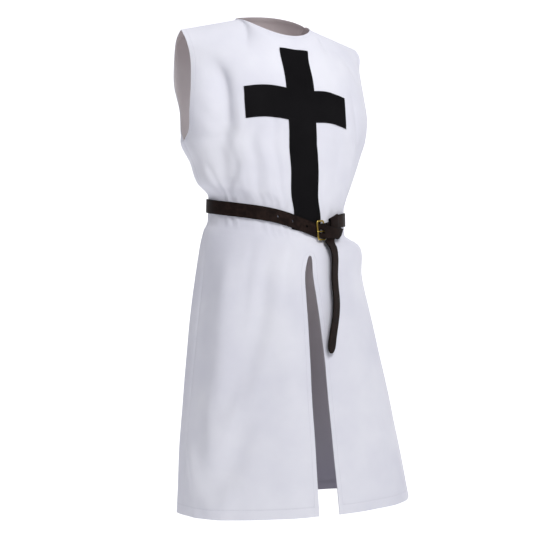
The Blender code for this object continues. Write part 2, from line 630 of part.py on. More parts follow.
def knot_and_tail(length):
    """Under the free bar, over the hinge, round the belt, down through the wrap and down the skirt."""
    along = heading(SLOPE)
    at_bar = np.array([length + FREE_BAR_ALONG, STRAP_AT_BAR_UP, 0])
    over = BACK_LAYER + 3 * LAYER
    made = []
    for u in (-0.012, -0.004, 0.0018, 0.0040, 0.0069, 0.0090, 0.0112, 0.0134, 0.0156, 0.019):
        level = over * smooth((u - 0.0017) / 0.0142) * OUT
        made.append(station(at_bar + u * along + level, along, buckle_axes()[1], holed=0.0065 < u < 0.0150))
    lean = BUCKLE_TILT + math.pi / 2
    for u in np.linspace(0.019, FIRST_FOLD, 6)[1:]:
        turned = lean + (FIRST_AXIS - lean) * (u - 0.019) / (FIRST_FOLD - 0.019)
        made.append(station(at_bar + u * along + over * OUT, along, heading(turned)))
    made += turn_over(made[-1], heading(FIRST_AXIS), 1.5 * LAYER, -OUT)
    behind = made[-1]
    reach = (SECOND_FOLD_UP - behind.centre[1]) / behind.along[1]
    for k in (1, 2, 3, 4):
        axis = heading(FIRST_AXIS + (SECOND_AXIS - FIRST_AXIS) * k / 4)
        made.append(station(behind.centre + reach * k / 4 * behind.along, behind.along, axis, behind.normal))
    made += turn_over(made[-1], heading(SECOND_AXIS), LAYER, OUT)
    top = made[-1]
    tip = [TAIL_LENGTH - TIP_LENGTH * (1 - math.sin(k * math.pi / 10)) for k in range(6)]
    near, far = np.arange(0.012, 0.075, 0.012), np.arange(0.090, TAIL_LENGTH - TIP_LENGTH - 0.01, 0.025)
    for u in (*near, *far, *tip):
        drift = sum(move * smooth((u - start) / reach) for move, start, reach in TAIL_DRIFTS)
        level = top.centre[2] + (TAIL_REST - top.centre[2]) * smooth((u - 0.048) / SINK)
        centre = [top.centre[0] + drift, top.centre[1] - u, level]
        twist = TAIL_TWIST * smooth((u - 0.048) / SINK)
        ruling = heading(SECOND_AXIS * (1 - smooth(u / 0.036))) * math.cos(twist) - OUT * math.sin(twist)
        normal = heading(0) * math.sin(twist) + OUT * math.cos(twist)
        in_tip = max(u - TAIL_LENGTH + TIP_LENGTH, 0) / TIP_LENGTH
        width = max(BELT_WIDTH * math.sqrt(max(1 - in_tip ** 2, 0)), HOLE_ACROSS)
        made.append(station(centre, -heading(math.pi / 2), ruling, normal, width))
    return made


def add_strap(waist):
    stations = eye_and_chape()
    stations += round_body(stations[-1].centre[0], waist.length)
    stations += knot_and_tail(waist.length)
    outer, inner, faces = [], [], []
    hole = HOLE_ACROSS / 2
    for k, at in enumerate(stations):
        slant = np.linalg.norm(np.cross(at.along, at.ruling))
        half = at.width / 2
        for v in (-half, -min(hole, 0.6 * half), min(hole, 0.6 * half), half):
            spot = at.centre + v / slant * at.ruling
            outer.append(waist.place(spot + at.normal * BELT_THICK / 2))
            inner.append(waist.place(spot - at.normal * BELT_THICK / 2))
        if k + 1 < len(stations):
            for c in (0, 1, 2):
                if not (at.holed and c == 1):
                    low, high = 4 * k + c, 4 * k + 4 + c
                    faces.append((low, high, high + 1, low + 1))
    add_wall("belt_strap", np.array(outer), np.array(inner), faces, "leather")


def add_wire(name, points, across, closed):
    """A round wire along the points."""
    curve = bpy.data.curves.new(name, "CURVE")
    curve.dimensions = "3D"
    curve.bevel_depth = across / 2
    curve.bevel_resolution = 2
    curve.use_fill_caps = not closed
    spline = curve.splines.new("POLY")
    spline.points.add(len(points) - 1)
    for point, place in zip(spline.points, points):
        point.co = (*place, 1)
    spline.use_cyclic_u = closed
    return add_object(name, curve, "brass")


def add_buckle(waist):
    hinge_way, bar_way, free, hinge = buckle_axes()
    free_level = BELT_THICK / 2 + WIRE_PLAY + BUCKLE_WIRE / 2
    middle = (free + free + BUCKLE_PITCH * hinge_way) / 2
    loop = []
    for quarter in range(4):
        sign_x, sign_y = ((1, 1), (-1, 1), (-1, -1), (1, -1))[quarter]
        for k in range(4):
            turn = math.pi / 2 * (quarter + k / 3)
            x = sign_x * (BUCKLE_PITCH / 2 - BUCKLE_CORNER) + BUCKLE_CORNER * math.cos(turn)
            y = sign_y * (BUCKLE_HALF_HIGH - BUCKLE_CORNER) + BUCKLE_CORNER * math.sin(turn)
            level = free_level + (hinge[2] - free_level) * (x / BUCKLE_PITCH + 0.5)
            loop.append(waist.place(middle + x * hinge_way + y * bar_way + level * OUT))
    add_wire("buckle_frame", loop, BUCKLE_WIRE, True)

    radius = BUCKLE_WIRE / 2 + WIRE_PLAY + PRONG_WIRE / 2
    start = hinge + PRONG_SHIFT * bar_way
    spots = []
    for degrees in range(200, 451, 25):
        turn = math.radians(degrees)
        spots.append(start + radius * (math.cos(turn) * hinge_way + math.sin(turn) * OUT))
    rest = free_level + BUCKLE_WIRE / 2 + WIRE_PLAY + PRONG_WIRE / 2 - hinge[2]
    shank = (
        (BUCKLE_PITCH / 2, radius),
        (BUCKLE_PITCH - 0.002, rest),
        (BUCKLE_PITCH + 0.001, rest),
        (BUCKLE_PITCH + 0.0035, rest - 0.0012),
    )
    spots += [start - reach * hinge_way + rise * OUT for reach, rise in shank]
    add_wire("buckle_prong", [waist.place(spot) for spot in spots], PRONG_WIRE, False)


def main():
    for old in list(bpy.data.objects):
        bpy.data.objects.remove(old)
    front, back = Panel(-1), Panel(1)
    rows, points, faces, seam, left, right = front_grid(front)
    normals = normals_of(points, faces, seam)
    add_wall("front_panel", points, points - normals * CLOTH, faces, "cloth")
    add_cross(points, normals, rows, left, right, front)
    points, faces, seam = back_grid(back, rows)
    add_wall("back_panel", points, points - normals_of(points, faces, seam) * CLOTH, faces, "cloth")
    waist = Waist(front, back)
    add_strap(waist)
    add_buckle(waist)


main()
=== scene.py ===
import math

import bpy
import numpy as np
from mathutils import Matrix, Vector


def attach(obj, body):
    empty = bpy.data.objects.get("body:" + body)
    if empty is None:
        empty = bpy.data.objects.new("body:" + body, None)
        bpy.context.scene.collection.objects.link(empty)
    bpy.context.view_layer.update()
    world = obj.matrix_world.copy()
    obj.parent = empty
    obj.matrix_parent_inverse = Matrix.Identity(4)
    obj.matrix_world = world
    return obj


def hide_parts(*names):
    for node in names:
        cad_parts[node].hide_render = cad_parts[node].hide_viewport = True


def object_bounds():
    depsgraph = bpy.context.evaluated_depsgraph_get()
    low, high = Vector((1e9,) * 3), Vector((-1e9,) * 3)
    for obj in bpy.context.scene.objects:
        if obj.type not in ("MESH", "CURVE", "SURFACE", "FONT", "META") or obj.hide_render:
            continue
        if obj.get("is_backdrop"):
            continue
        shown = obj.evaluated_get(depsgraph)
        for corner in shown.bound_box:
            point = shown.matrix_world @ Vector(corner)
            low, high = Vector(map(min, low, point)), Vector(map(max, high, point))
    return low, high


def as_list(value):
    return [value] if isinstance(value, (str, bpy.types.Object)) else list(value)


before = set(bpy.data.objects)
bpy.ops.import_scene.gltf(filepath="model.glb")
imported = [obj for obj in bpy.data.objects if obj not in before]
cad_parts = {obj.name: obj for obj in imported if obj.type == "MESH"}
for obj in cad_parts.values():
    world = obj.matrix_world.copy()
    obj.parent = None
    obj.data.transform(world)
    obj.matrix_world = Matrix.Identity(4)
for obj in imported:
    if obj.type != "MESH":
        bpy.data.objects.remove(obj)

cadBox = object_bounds()
print("frame loaded")


def putInScene(name, data):
    made = bpy.data.objects.new(name, data)
    bpy.context.scene.collection.objects.link(made)
    return made


def pieceFrom(name, holder):
    # the mesh that a curve or a modifier makes, as a piece of its own
    bpy.context.view_layer.update()
    made = bpy.data.meshes.new_from_object(holder.evaluated_get(bpy.context.evaluated_depsgraph_get()))
    holder.modifiers.clear()
    bpy.data.objects.remove(holder)
    made.name = name
    made.shade_smooth()
    return putInScene(name, made)


# Metres, +Z up. The wearer faces -Y and the wearer's left is +X.
# The camera comes first: level, turned 30 degrees to the wearer's right.
cameraLook = {
    "turned": 30,
    "distance": 3.25,
    "height": -0.5405,
    "shiftedLeft": 0.0122,
    "sensor": 36,
    "lens": 98.75,
}
turnedBy = math.radians(cameraLook["turned"])
viewAway = Vector((math.sin(turnedBy), math.cos(turnedBy), 0))
viewRight = Vector((math.cos(turnedBy), -math.sin(turnedBy), 0))


def makeCamera(look):
    data = bpy.data.cameras.new("camera")
    data.sensor_width = look["sensor"]
    data.lens = look["lens"]
    camera = putInScene("camera", data)
    aside = viewRight * look["shiftedLeft"]
    camera.location = viewAway * -look["distance"] - aside + Vector((0, 0, look["height"]))
    camera.rotation_euler = (math.pi / 2, 0, -turnedBy)
    bpy.context.scene.camera = camera


makeCamera(cameraLook)

# The garment's form. A row of rings is: height, shift in x, y of the side seams, half width, depth in front,
# depth behind, tilt up to the back, tilt up to the wearer's left, dip at the front.
form = {
    "rings": [
        (-1.059, 0.0180, -0.070, 0.285, 0.152, 0.152, 0.025, 0.006, 0.000),  # hem
        (-0.945, 0.0140, -0.060, 0.270, 0.147, 0.150, 0.010, 0.000, 0.000),  # shin
        (-0.830, 0.0105, -0.050, 0.2515, 0.142, 0.147, 0.010, 0.000, 0.000),  # thigh
        (-0.660, 0.009, -0.032, 0.221, 0.139, 0.143, 0.020, -0.020, 0.000),  # seat
        (-0.550, 0.007, -0.024, 0.199, 0.134, 0.132, 0.050, -0.040, 0.004),  # hip
        (-0.477, 0.0130, -0.021, 0.186, 0.129, 0.119, 0.090, -0.060, 0.011),  # under the belt
        (-0.450, -0.002, -0.020, 0.160, 0.122, 0.107, 0.103, -0.0655, 0.014),  # low in the belt
        (-0.404, -0.002, -0.020, 0.159, 0.122, 0.106, 0.103, -0.0655, 0.014),  # high in the belt
        (-0.374, -0.0080, -0.017, 0.178, 0.128, 0.114, 0.090, -0.060, 0.009),  # over the belt
        (-0.325, -0.0035, -0.010, 0.1975, 0.132, 0.122, 0.050, -0.040, 0.003),  # ribs
        (-0.277, -0.0015, -0.003, 0.2195, 0.134, 0.122, 0.000, -0.025, 0.000),  # armpit
    ],
    # Rows between the armholes: centre y and z, edge x, y and z, half the angle that the row bends through.
    "frontRows": [
        (-0.136, -0.255, 0.2225, -0.027, -0.259, 82),
        (-0.135, -0.212, 0.2260, -0.041, -0.212, 74),
        (-0.125, -0.145, 0.2210, -0.036, -0.150, 64),
        (-0.103, -0.092, 0.2170, -0.024, -0.096, 54),
    ],
    "backRows": [
        (0.122, -0.252, 0.217, 0.017, -0.258, 80),
        (0.119, -0.205, 0.213, 0.031, -0.212, 70),
        (0.112, -0.130, 0.219, 0.050, -0.150, 60),
        (0.092, -0.060, 0.221, 0.044, -0.090, 50),
    ],
    # Just below the top edge: out and down at the shoulder, out and down at the neck, out at the tip.
    "frontFall": (0.030, 0.016, 0.011, 0.022, 0.016),
    "backFall": (0.022, 0.013, 0.013, 0.024, 0.018),
    "fallPower": 0.7,
    "neckHalf": 0.0855,
    # reach and rise of the neckline, and the power that bends it
    "frontNeck": (0.078, -0.038, 1.6),
    "backNeck": (0.062, 0.023, 1.0),
    "backNeckSkew": 0.35,
    "shoulderTip": (0.224, 0.004, -0.036),
    "upperRoll": -0.025,
    "dipAt": 12,
    "dipPower": 6,
    "beltRing": 6,
    "beltBelowHighRing": 0.018,
}
samples = 1081
tableRows = 1001


def smooth(x):
    x = np.clip(x, 0, 1)
    return x * x * (3 - 2 * x)


def ramp(value, run):
    # from 0 to 1, softly; a run is where it starts and over how long it goes
    return smooth((value - run[0]) / run[1])


def spacedEvenly(points):
    along = np.concatenate([[0], np.cumsum(np.linalg.norm(np.diff(points, axis=0), axis=1))])
    at = np.linspace(0, along[-1], samples)
    return np.stack([np.interp(at, along, points[:, k]) for k in range(3)], axis=1)


def ringRow(ring, side):
    height, shiftX, seamY, halfWidth, front, back, tilt, roll, dip = ring
    turn = np.linspace(-math.pi / 2, math.pi / 2, 2 * samples)
    x = shiftX + halfWidth * np.sin(turn)
    y = seamY + side * (front if side < 0 else back) * np.cos(turn)
    z = height + tilt * (y - seamY) + roll * x
    if side < 0:
        z = z - dip * np.clip(np.cos(turn - math.radians(form["dipAt"])), 0, 1) ** form["dipPower"]
    return np.stack([x, y, z], axis=1)


def openRow(row):
    centreY, centreZ, edgeX, edgeY, edgeZ, degrees = row
    limit = math.radians(degrees)
    turn = np.linspace(-limit, limit, 2 * samples)
    inward = (np.cos(turn) - math.cos(limit)) / (1 - math.cos(limit))
    x = edgeX * np.sin(turn) / math.sin(limit)
    y = edgeY + (centreY - edgeY) * inward
    z = edgeZ + (centreZ - edgeZ) * inward + form["upperRoll"] * x
    return np.stack([x, y, z], axis=1)


def topRow(side):
    reach, rise, power = form["frontNeck"] if side < 0 else form["backNeck"]
    turn = np.linspace(-math.pi / 2, math.pi / 2, samples)
    curve = np.clip(np.cos(turn), 0, 1)
    skew = 1 + (0 if side < 0 else form["backNeckSkew"]) * np.sin(turn)
    neck = [form["neckHalf"] * np.sin(turn), side * reach * curve, skew * rise * curve ** power]
    neck = np.stack(neck, axis=1)
    tip = np.array(form["shoulderTip"])
    left = neck[-1] + np.linspace(0, 1, samples // 2)[1:, None] * (tip - neck[-1])
    right = (left * (-1, 1, 1))[::-1]
    line = np.concatenate([right, neck, left])
    line[:, 2] += form["upperRoll"] * line[:, 0]
    return line


def fallRow(side):
    fall = form["frontFall"] if side < 0 else form["backFall"]
    shoulderOut, shoulderDown, neckOut, neckDown, tipOut = fall
    line = topRow(side)
    across = np.abs(line[:, 0])
    inNeck = np.clip(1 - across / form["neckHalf"], 0, 1) ** form["fallPower"]
    atTip = np.clip((across - form["neckHalf"]) / (form["shoulderTip"][0] - form["neckHalf"]), 0, 1) ** 2
    out = shoulderOut + (neckOut - shoulderOut) * inNeck + (tipOut - shoulderOut) * atTip
    down = shoulderDown + (neckDown - shoulderDown) * inNeck
    return line + np.stack([0 * out, side * out, -down], axis=1)


def makeSurface(side):
    rings, openRows = form["rings"], form["frontRows"] if side < 0 else form["backRows"]
    rows = [ringRow(ring, side) for ring in rings] + [openRow(row) for row in openRows]
    rows = np.stack([spacedEvenly(row) for row in (*rows, fallRow(side), topRow(side))])
    steps = np.linalg.norm(np.diff(rows, axis=0), axis=2)
    armpit, belt = len(rings) - 1, form["beltRing"]
    steps = np.concatenate([steps[:armpit, [0, -1]].mean(axis=1), steps[armpit:].mean(axis=1)])
    knots = np.concatenate([[0], np.cumsum(steps)])
    gaps = np.diff(rows, axis=0) / steps[:, None, None]
    before, after = steps[:-1, None, None], steps[1:, None, None]
    between = (gaps[:-1] * after + gaps[1:] * before) / (before + after)
    slopes = np.concatenate([gaps[:1], between, gaps[-1:]])
    slopes[belt:belt + 2] = gaps[belt]  # the belt holds the cloth flat
    atEdge = np.abs(np.linspace(-1, 1, samples))[:, None] ** 12
    leaving, arriving = slopes.copy(), slopes.copy()
    arriving[armpit] += (gaps[armpit - 1] - slopes[armpit]) * atEdge
    leaving[armpit] += (gaps[armpit] - slopes[armpit]) * atEdge
    places = np.linspace(0, knots[-1], tableRows)
    k = np.clip(np.searchsorted(knots, places) - 1, 0, len(steps) - 1)
    u = ((places - knots[k]) / steps[k])[:, None, None]
    span = steps[k][:, None, None]
    points = (
        (2 * u ** 3 - 3 * u ** 2 + 1) * rows[k]
        + (u ** 3 - 2 * u ** 2 + u) * span * leaving[k]
        + (3 * u ** 2 - 2 * u ** 3) * rows[k + 1]
        + (u ** 3 - u ** 2) * span * arriving[k + 1]
    )
    halves = np.linalg.norm(np.diff(points, axis=1), axis=2).sum(axis=1) / 2
    half = rows[-1][samples // 2:, 0]
    neckShare = float(np.interp(form["neckHalf"], half, np.linspace(0, 1, len(half))))
    return {
        "side": side, "points": points, "halves": halves, "places": places, "top": knots[-1],
        "armpit": knots[armpit], "belt": knots[belt + 1] - form["beltBelowHighRing"],
        "neckShare": neckShare,
    }


def halfAt(surface, t):
    return np.interp(t, surface["places"], surface["halves"])


def smoothPoint(surface, across, t):
    across, t = np.broadcast_arrays(np.asarray(across, float), np.asarray(t, float))
    row = np.clip(t / surface["top"], 0, 1) * (tableRows - 1)
    j = np.minimum(row.astype(int), tableRows - 2)
    up = (row - j)[..., None]
    share = np.clip(across / halfAt(surface, t), -1, 1)
    column = (share + 1) / 2 * (samples - 1)
    i = np.minimum(column.astype(int), samples - 2)
    over = (column - i)[..., None]
    points = surface["points"]
    low = points[j, i] * (1 - over) + points[j, i + 1] * over
    high = points[j + 1, i] * (1 - over) + points[j + 1, i + 1] * over
    return low * (1 - up) + high * up, share


# Folds, in millimetres and in degrees of cloth (0 at the centre front, 90 at the wearer's left seam). A row
# is: top, middle and low z, the way round at those three, width in degrees at both ends, depth, and how far
# each end fades.
folds = {
    "main": [
        (-70, -170, -290, -75, -67, -63, 10, 8, -16, 80, 60),  # chest trough
        (-235, -310, -392, -56, -62, -68, 9, 6, -12, 50, 40),  # the same below the armhole
        (-250, -320, -385, -82, -80, -79, 5, 6, 2, 60, 35),  # under the armhole
        (-270, -350, -392, -50, -57, -68, 5, 5, -6, 60, 30),  # to the belt
        (-220, -320, -400, -42, -37, -39, 4, 4, -4, 60, 30),  # by the cross
        (-240, -330, -410, 66, 64, 70, 7, 6, -4, 60, 35),  # left waist
        (-465, -700, -1300, -86, -85, -88, 12, 14, -12, 120, 100),  # skirt side trough
        (-465, -760, -1020, -64, -64, -67, 7, 8, 7, 120, 200),  # skirt side ridge
        (-462, -690, -880, -35, -43, -66, 6, 8, -10, 160, 100),  # long skirt trough
        (-830, -930, -1040, -46, -55, -68, 6, 9, -10, 100, 80),  # low skirt trough
        (-560, -800, -1300, -20, -22, -24, 8, 9, 3, 200, 100),  # ridge by the slit
        (-780, -870, -1300, 80, 84, 86, 4, 5, -4, 80, 100),  # dent at the left edge
        (-462, -760, -1300, 150, 146, 143, 8, 10, -10, 160, 100),  # back left
        (-462, -760, -1300, 178, 176, 175, 8, 10, 6, 160, 100),  # back middle
        (-462, -740, -1300, 208, 213, 216, 8, 10, -9, 160, 100),  # back right
        (-180, -300, -350, 152, 150, 156, 8, 6, -5, 80, 45),  # upper back left
        (-160, -280, -350, 212, 210, 203, 8, 6, -6, 80, 45),  # upper back right
    ],
    # Softer and narrower ones, which the solids leave out.
    "fine": [
        (-80, -180, -285, -75, -67, -63, 7.5, 7, -4.5, 70, 60),
        (-150, -270, -405, -29, -23, -18, 3, 2.5, -3.4, 80, 30),
        (-200, -300, -405, -33, -30, -29, 3, 2.5, 1.4, 80, 30),
        (-180, -280, -395, -52, -50, -48, 3.5, 3, 1.2, 60, 30),
        (-310, -355, -396, -76, -73, -70, 3, 2.5, -3, 30, 20),
        (-885, -985, -1090, -88, -78, -58, 4.5, 5.5, 6, 60, 60),
        (-280, -340, -400, -30, -27, -27, 2.5, 2, 1.2, 50, 30),
        (-90, -200, -400, 30, 33, 30, 5, 4, -1.6, 80, 60),
        (-110, -240, -410, 45, 50, 55, 4, 3.5, 2, 80, 50),
        (-130, -300, -420, 56, 58, 60, 3, 2.5, -1.8, 80, 40),
        (-200, -330, -420, 76, 77, 82, 3.5, 3, 2.2, 60, 40),
        (-300, -360, -410, 20, 18, 17, 2.5, 2, -1, 50, 30),
        (-470, -600, -760, -47, -50, -54, 3.5, 5, -2.4, 50, 120),
        (-470, -560, -660, -18, -20, -22, 3, 4, -1.6, 50, 90),
        (-480, -600, -760, -9, -12, -14, 3, 4.5, 1.2, 50, 120),
        (-700, -800, -920, -48, -53, -60, 4, 4, 2.6, 100, 80),
        (-780, -860, -980, -72, -70, -66, 4, 5, 3, 80, 80),
        (-900, -980, -1300, -84, -81, -78, 4, 4, 3.4, 80, 100),
        (-960, -1020, -1300, -58, -60, -62, 4, 5, 2.6, 60, 100),
        (-960, -1010, -1300, -36, -34, -32, 5, 5, -1.6, 60, 100),
        (-1010, -1035, -1300, -16, -13, -9, 3, 3, -2.2, 30, 100),
        (-480, -620, -820, 36, 40, 44, 4, 6, -1.8, 60, 140),
        (-480, -640, -900, 52, 58, 62, 5, 6, 2.8, 60, 160),
        (-480, -620, -840, 68, 70, 74, 4, 5, -3, 50, 140),
        (-800, -900, -1300, 28, 30, 31, 6, 8, -2.2, 150, 100),
        (-840, -940, -1300, 52, 50, 49, 5, 7, 2.4, 150, 100),
        (-860, -960, -1300, 70, 72, 73, 4, 6, -2.6, 120, 100),
        (-470, -640, -900, 108, 106, 104, 5, 6, 4, 60, 180),
        (-470, -660, -1300, 124, 123, 121, 5, 7, -5, 80, 100),
        (-470, -620, -820, 164, 163, 160, 4, 5, -3, 60, 140),
        (-470, -640, -860, 192, 195, 196, 4, 6, -3.4, 60, 140),
        (-470, -700, -1300, 232, 236, 238, 5, 7, 4.6, 80, 100),
        (-470, -660, -1300, 250, 252, 253, 5, 6, -4, 80, 100),
        (-820, -920, -1300, 160, 158, 157, 5, 7, 3, 120, 100),
        (-820, -920, -1300, 196, 198, 199, 5, 7, -3, 120, 100),
        (-80, -200, -340, 134, 140, 144, 5, 4, -3, 80, 50),
        (-60, -200, -340, 172, 170, 168, 6, 4, 2.4, 80, 50),
        (-80, -220, -340, 188, 190, 192, 5, 4, -2.2, 80, 50),
        (-60, -180, -340, 232, 226, 220, 6, 4, -3.4, 80, 50),
        (-160, -260, -345, 246, 242, 238, 5, 4, 3, 80, 40),
        (-200, -280, -350, 116, 120, 126, 5, 4, 3, 80, 40),
    ],
}


def foldMove(rows, at, z):
    moved = np.zeros_like(z)
    for row in rows:
        atTop, atMid, atLow, wideTop, wideLow = row[3:8]
        topZ, midZ, lowZ, depth, fadeTop, fadeLow = (x / 1000 for x in row[:3] + row[8:])
        down = np.clip((topZ - z) / (topZ - lowZ), 0, 1)
        middle = (topZ - midZ) / (topZ - lowZ)
        bend = (atMid - atTop - (atLow - atTop) * middle) / (middle * (1 - middle))
        line = atTop + (atLow - atTop) * down + bend * down * (1 - down)
        wide = wideTop + (wideLow - wideTop) * down
        off = (at - line + 180) % 360 - 180
        ends = smooth((topZ - z) / fadeTop) * smooth((z - lowZ) / fadeLow)
        moved = moved + depth * ends * np.exp(-((off / wide) ** 2))
    return moved


# Small gathers where the belt draws the cloth in. A row is: the way round, width in degrees, height in
# millimetres below and above the belt, and how far they run below and above it in millimetres.
gathers = {
    "startsAt": 0.0085,
    "risesOver": 0.012,
    "fullUntil": 0.020,
    "rows": [
        (-87, 2.4, -0.9, -1.0, 60, 40), (-80, 2.6, 1.0, 0.8, 45, 50), (-73, 1.8, -1.0, -1.2, 50, 30),
        (-69, 1.5, 1.2, 1.6, 25, 55), (-65, 1.4, -2.2, -1.8, 28, 40), (-60, 1.8, 1.4, 1.0, 32, 35),
        (-53, 2.6, -0.5, -1.1, 60, 50), (-45, 2.4, 0.7, 0.8, 60, 45), (-38.5, 1.3, -1.5, -1.6, 32, 55),
        (-34.5, 1.4, 1.0, 0.9, 45, 40), (-31, 1.6, -1.9, -1.0, 80, 40), (-26, 1.2, -1.2, -1.7, 28, 45),
        (-22, 1.5, 0.9, 0.8, 40, 35), (-18, 1.2, -1.6, -1.2, 38, 50), (-12, 1.2, -1.4, -0.9, 34, 30),
        (-7, 1.6, 0.8, 0.4, 30, 20), (2, 2.0, -0.9, 0.0, 30, 20), (12, 2.0, -0.8, -0.5, 35, 25),
        (22, 1.8, -1.2, -0.8, 45, 35), (28, 1.6, 0.9, 0.9, 35, 30), (33, 1.8, -1.5, -1.2, 55, 45),
        (39, 1.7, 1.5, 1.0, 50, 35), (45, 1.8, -1.7, -1.4, 60, 50), (51, 1.8, 1.6, 1.2, 45, 40),
        (57, 1.8, -1.6, -1.3, 55, 50), (63, 1.8, 1.6, 1.4, 60, 45), (69, 1.8, -1.8, -1.2, 45, 50),
        (76, 2.0, 1.7, 1.4, 60, 40), (83, 2.0, -1.6, -1.4, 50, 55), (92, 2.4, 1.6, 1.2, 60, 40),
        (100, 2.2, -1.8, -1.5, 55, 55), (108, 2.2, 1.7, 1.3, 60, 45), (115, 2.0, -1.8, -1.2, 45, 40),
        (123, 2.4, 1.5, 1.5, 65, 55), (131, 2.2, -1.9, -1.4, 60, 45), (138, 2.0, 1.7, 1.4, 50, 50),
        (145, 2.2, -1.6, -1.6, 60, 60), (153, 2.4, 1.8, 1.3, 70, 45), (161, 2.2, -1.9, -1.5, 55, 55),
        (168, 2.0, 1.6, 1.2, 50, 40), (175, 2.2, -1.7, -1.6, 60, 60), (183, 2.4, 1.8, 1.4, 65, 50),
        (191, 2.2, -1.8, -1.2, 50, 45), (198, 2.0, 1.6, 1.6, 60, 55), (206, 2.4, -1.9, -1.4, 60, 50),
        (214, 2.2, 1.7, 1.3, 55, 45), (222, 2.2, -1.6, -1.5, 65, 55), (229, 2.0, 1.8, 1.2, 50, 40),
        (237, 2.4, -1.8, -1.5, 60, 60), (245, 2.2, 1.6, 1.4, 55, 45), (253, 2.2, -1.7, -1.3, 60, 50),
        (261, 2.2, 1.6, 1.3, 50, 45),
    ],
}


def gatherMove(at, fromBelt):
    moved = np.zeros_like(at)
    below, above = np.maximum(-fromBelt, 0), np.maximum(fromBelt, 0)
    start, rise, full = gathers["startsAt"], gathers["risesOver"], gathers["fullUntil"]
    for middle, wide, lowDepth, highDepth, lowReach, highReach in gathers["rows"]:
        off = (at - middle + 180) % 360 - 180
        hill = np.exp(-((off / wide) ** 2))
        low = smooth((below - start) / rise) * (1 - smooth((below - full) / (lowReach / 1000)))
        high = smooth((above - start) / rise) * (1 - smooth((above - full) / (highReach / 1000)))
        moved = moved + hill * (lowDepth * low + highDepth * high) / 1000
    return moved


# Creases that don't run down the garment, as lines on the cloth: panel, from (across, below the top row) to
# (across, below the top row), width, depth. Metres; the wearer's left is positive.
creases = {
    "rows": [
        (-1, (0.105, 0.012), (0.235, 0.020), 0.006, -0.0022),
        (-1, (0.110, 0.026), (0.230, 0.040), 0.010, 0.0022),
        (-1, (-0.140, 0.026), (-0.210, 0.045), 0.014, -0.0012),
        (-1, (0.150, 0.060), (0.225, 0.150), 0.012, -0.0022),
        (-1, (0.175, 0.040), (0.235, 0.110), 0.010, 0.0020),
        (-1, (-0.230, 0.215), (-0.165, 0.300), 0.011, -0.0024),
        (-1, (0.235, 0.200), (0.190, 0.290), 0.011, -0.0022),
        (1, (-0.100, 0.030), (-0.215, 0.060), 0.014, -0.0024),
        (1, (0.100, 0.028), (0.215, 0.066), 0.014, -0.0026),
        (1, (-0.215, 0.120), (-0.130, 0.230), 0.014, -0.0022),
        (1, (0.215, 0.130), (0.125, 0.240), 0.014, -0.0022),
    ],
    "fade": 0.030,
}


def creaseMove(surface, across, t):
    moved = np.zeros_like(across)
    down = surface["top"] - t
    for side, start, end, wide, depth in creases["rows"]:
        if side != surface["side"]:
            continue
        (x0, y0), (x1, y1) = start, end
        length = math.hypot(x1 - x0, y1 - y0)
        alongX, alongY = (x1 - x0) / length, (y1 - y0) / length
        along = (across - x0) * alongX + (down - y0) * alongY
        off = (across - x0) * alongY - (down - y0) * alongX
        ends = smooth((along + creases["fade"]) / creases["fade"] / 2)
        ends = ends * smooth((length + creases["fade"] - along) / creases["fade"] / 2)
        moved = moved + depth * ends * np.exp(-((off / wide) ** 2))
    return moved


waveLook = {
    "height": 0.0007,
    "calmAtBelt": 0.012,
    "fadeAtBelt": 0.03,
    "fadeAtTop": 0.05,
}


def softWaves(at, t):
    # broad, very low unevenness, so that no stretch of cloth is quite flat
    turn = np.radians(at)
    wave = np.sin(5 * turn + 9 * t + 0.7) * np.sin(17 * t + 2.1 * np.sin(2 * turn))
    wave = wave + 0.6 * np.sin(11 * turn - 13 * t + 1.9) * np.sin(31 * t + 1.3 * np.sin(3 * turn) + 0.4)
    return waveLook["height"] * wave


def clothPoint(surface, across, t, detail=True):
    across, t = np.broadcast_arrays(np.asarray(across, float), np.asarray(t, float))
    place, share = smoothPoint(surface, across, t)
    at = 90 * share if surface["side"] < 0 else 180 - 90 * share
    move = foldMove(folds["main"], at, place[..., 2])
    if detail:
        fromBelt = t - surface["belt"]
        calm = smooth((np.abs(fromBelt) - waveLook["calmAtBelt"]) / waveLook["fadeAtBelt"])
        calm = calm * smooth((surface["top"] - t) / waveLook["fadeAtTop"])
        move = move + foldMove(folds["fine"], at, place[..., 2])
        move = move + gatherMove(at, fromBelt) + creaseMove(surface, across, t)
        move = move + softWaves(at, t) * calm
    way = np.radians(at)
    outward = np.stack([np.sin(way), -np.cos(way), 0 * way], axis=-1)
    return place + move[..., None] * outward


front, back = makeSurface(-1), makeSurface(1)
print("smooth form ready, belt line", round(front["belt"], 4), "of", round(front["top"], 4))


def heightPlace(surface, z):
    centre = surface["points"][:, samples // 2, 2]
    return float(np.interp(z, centre, surface["places"]))


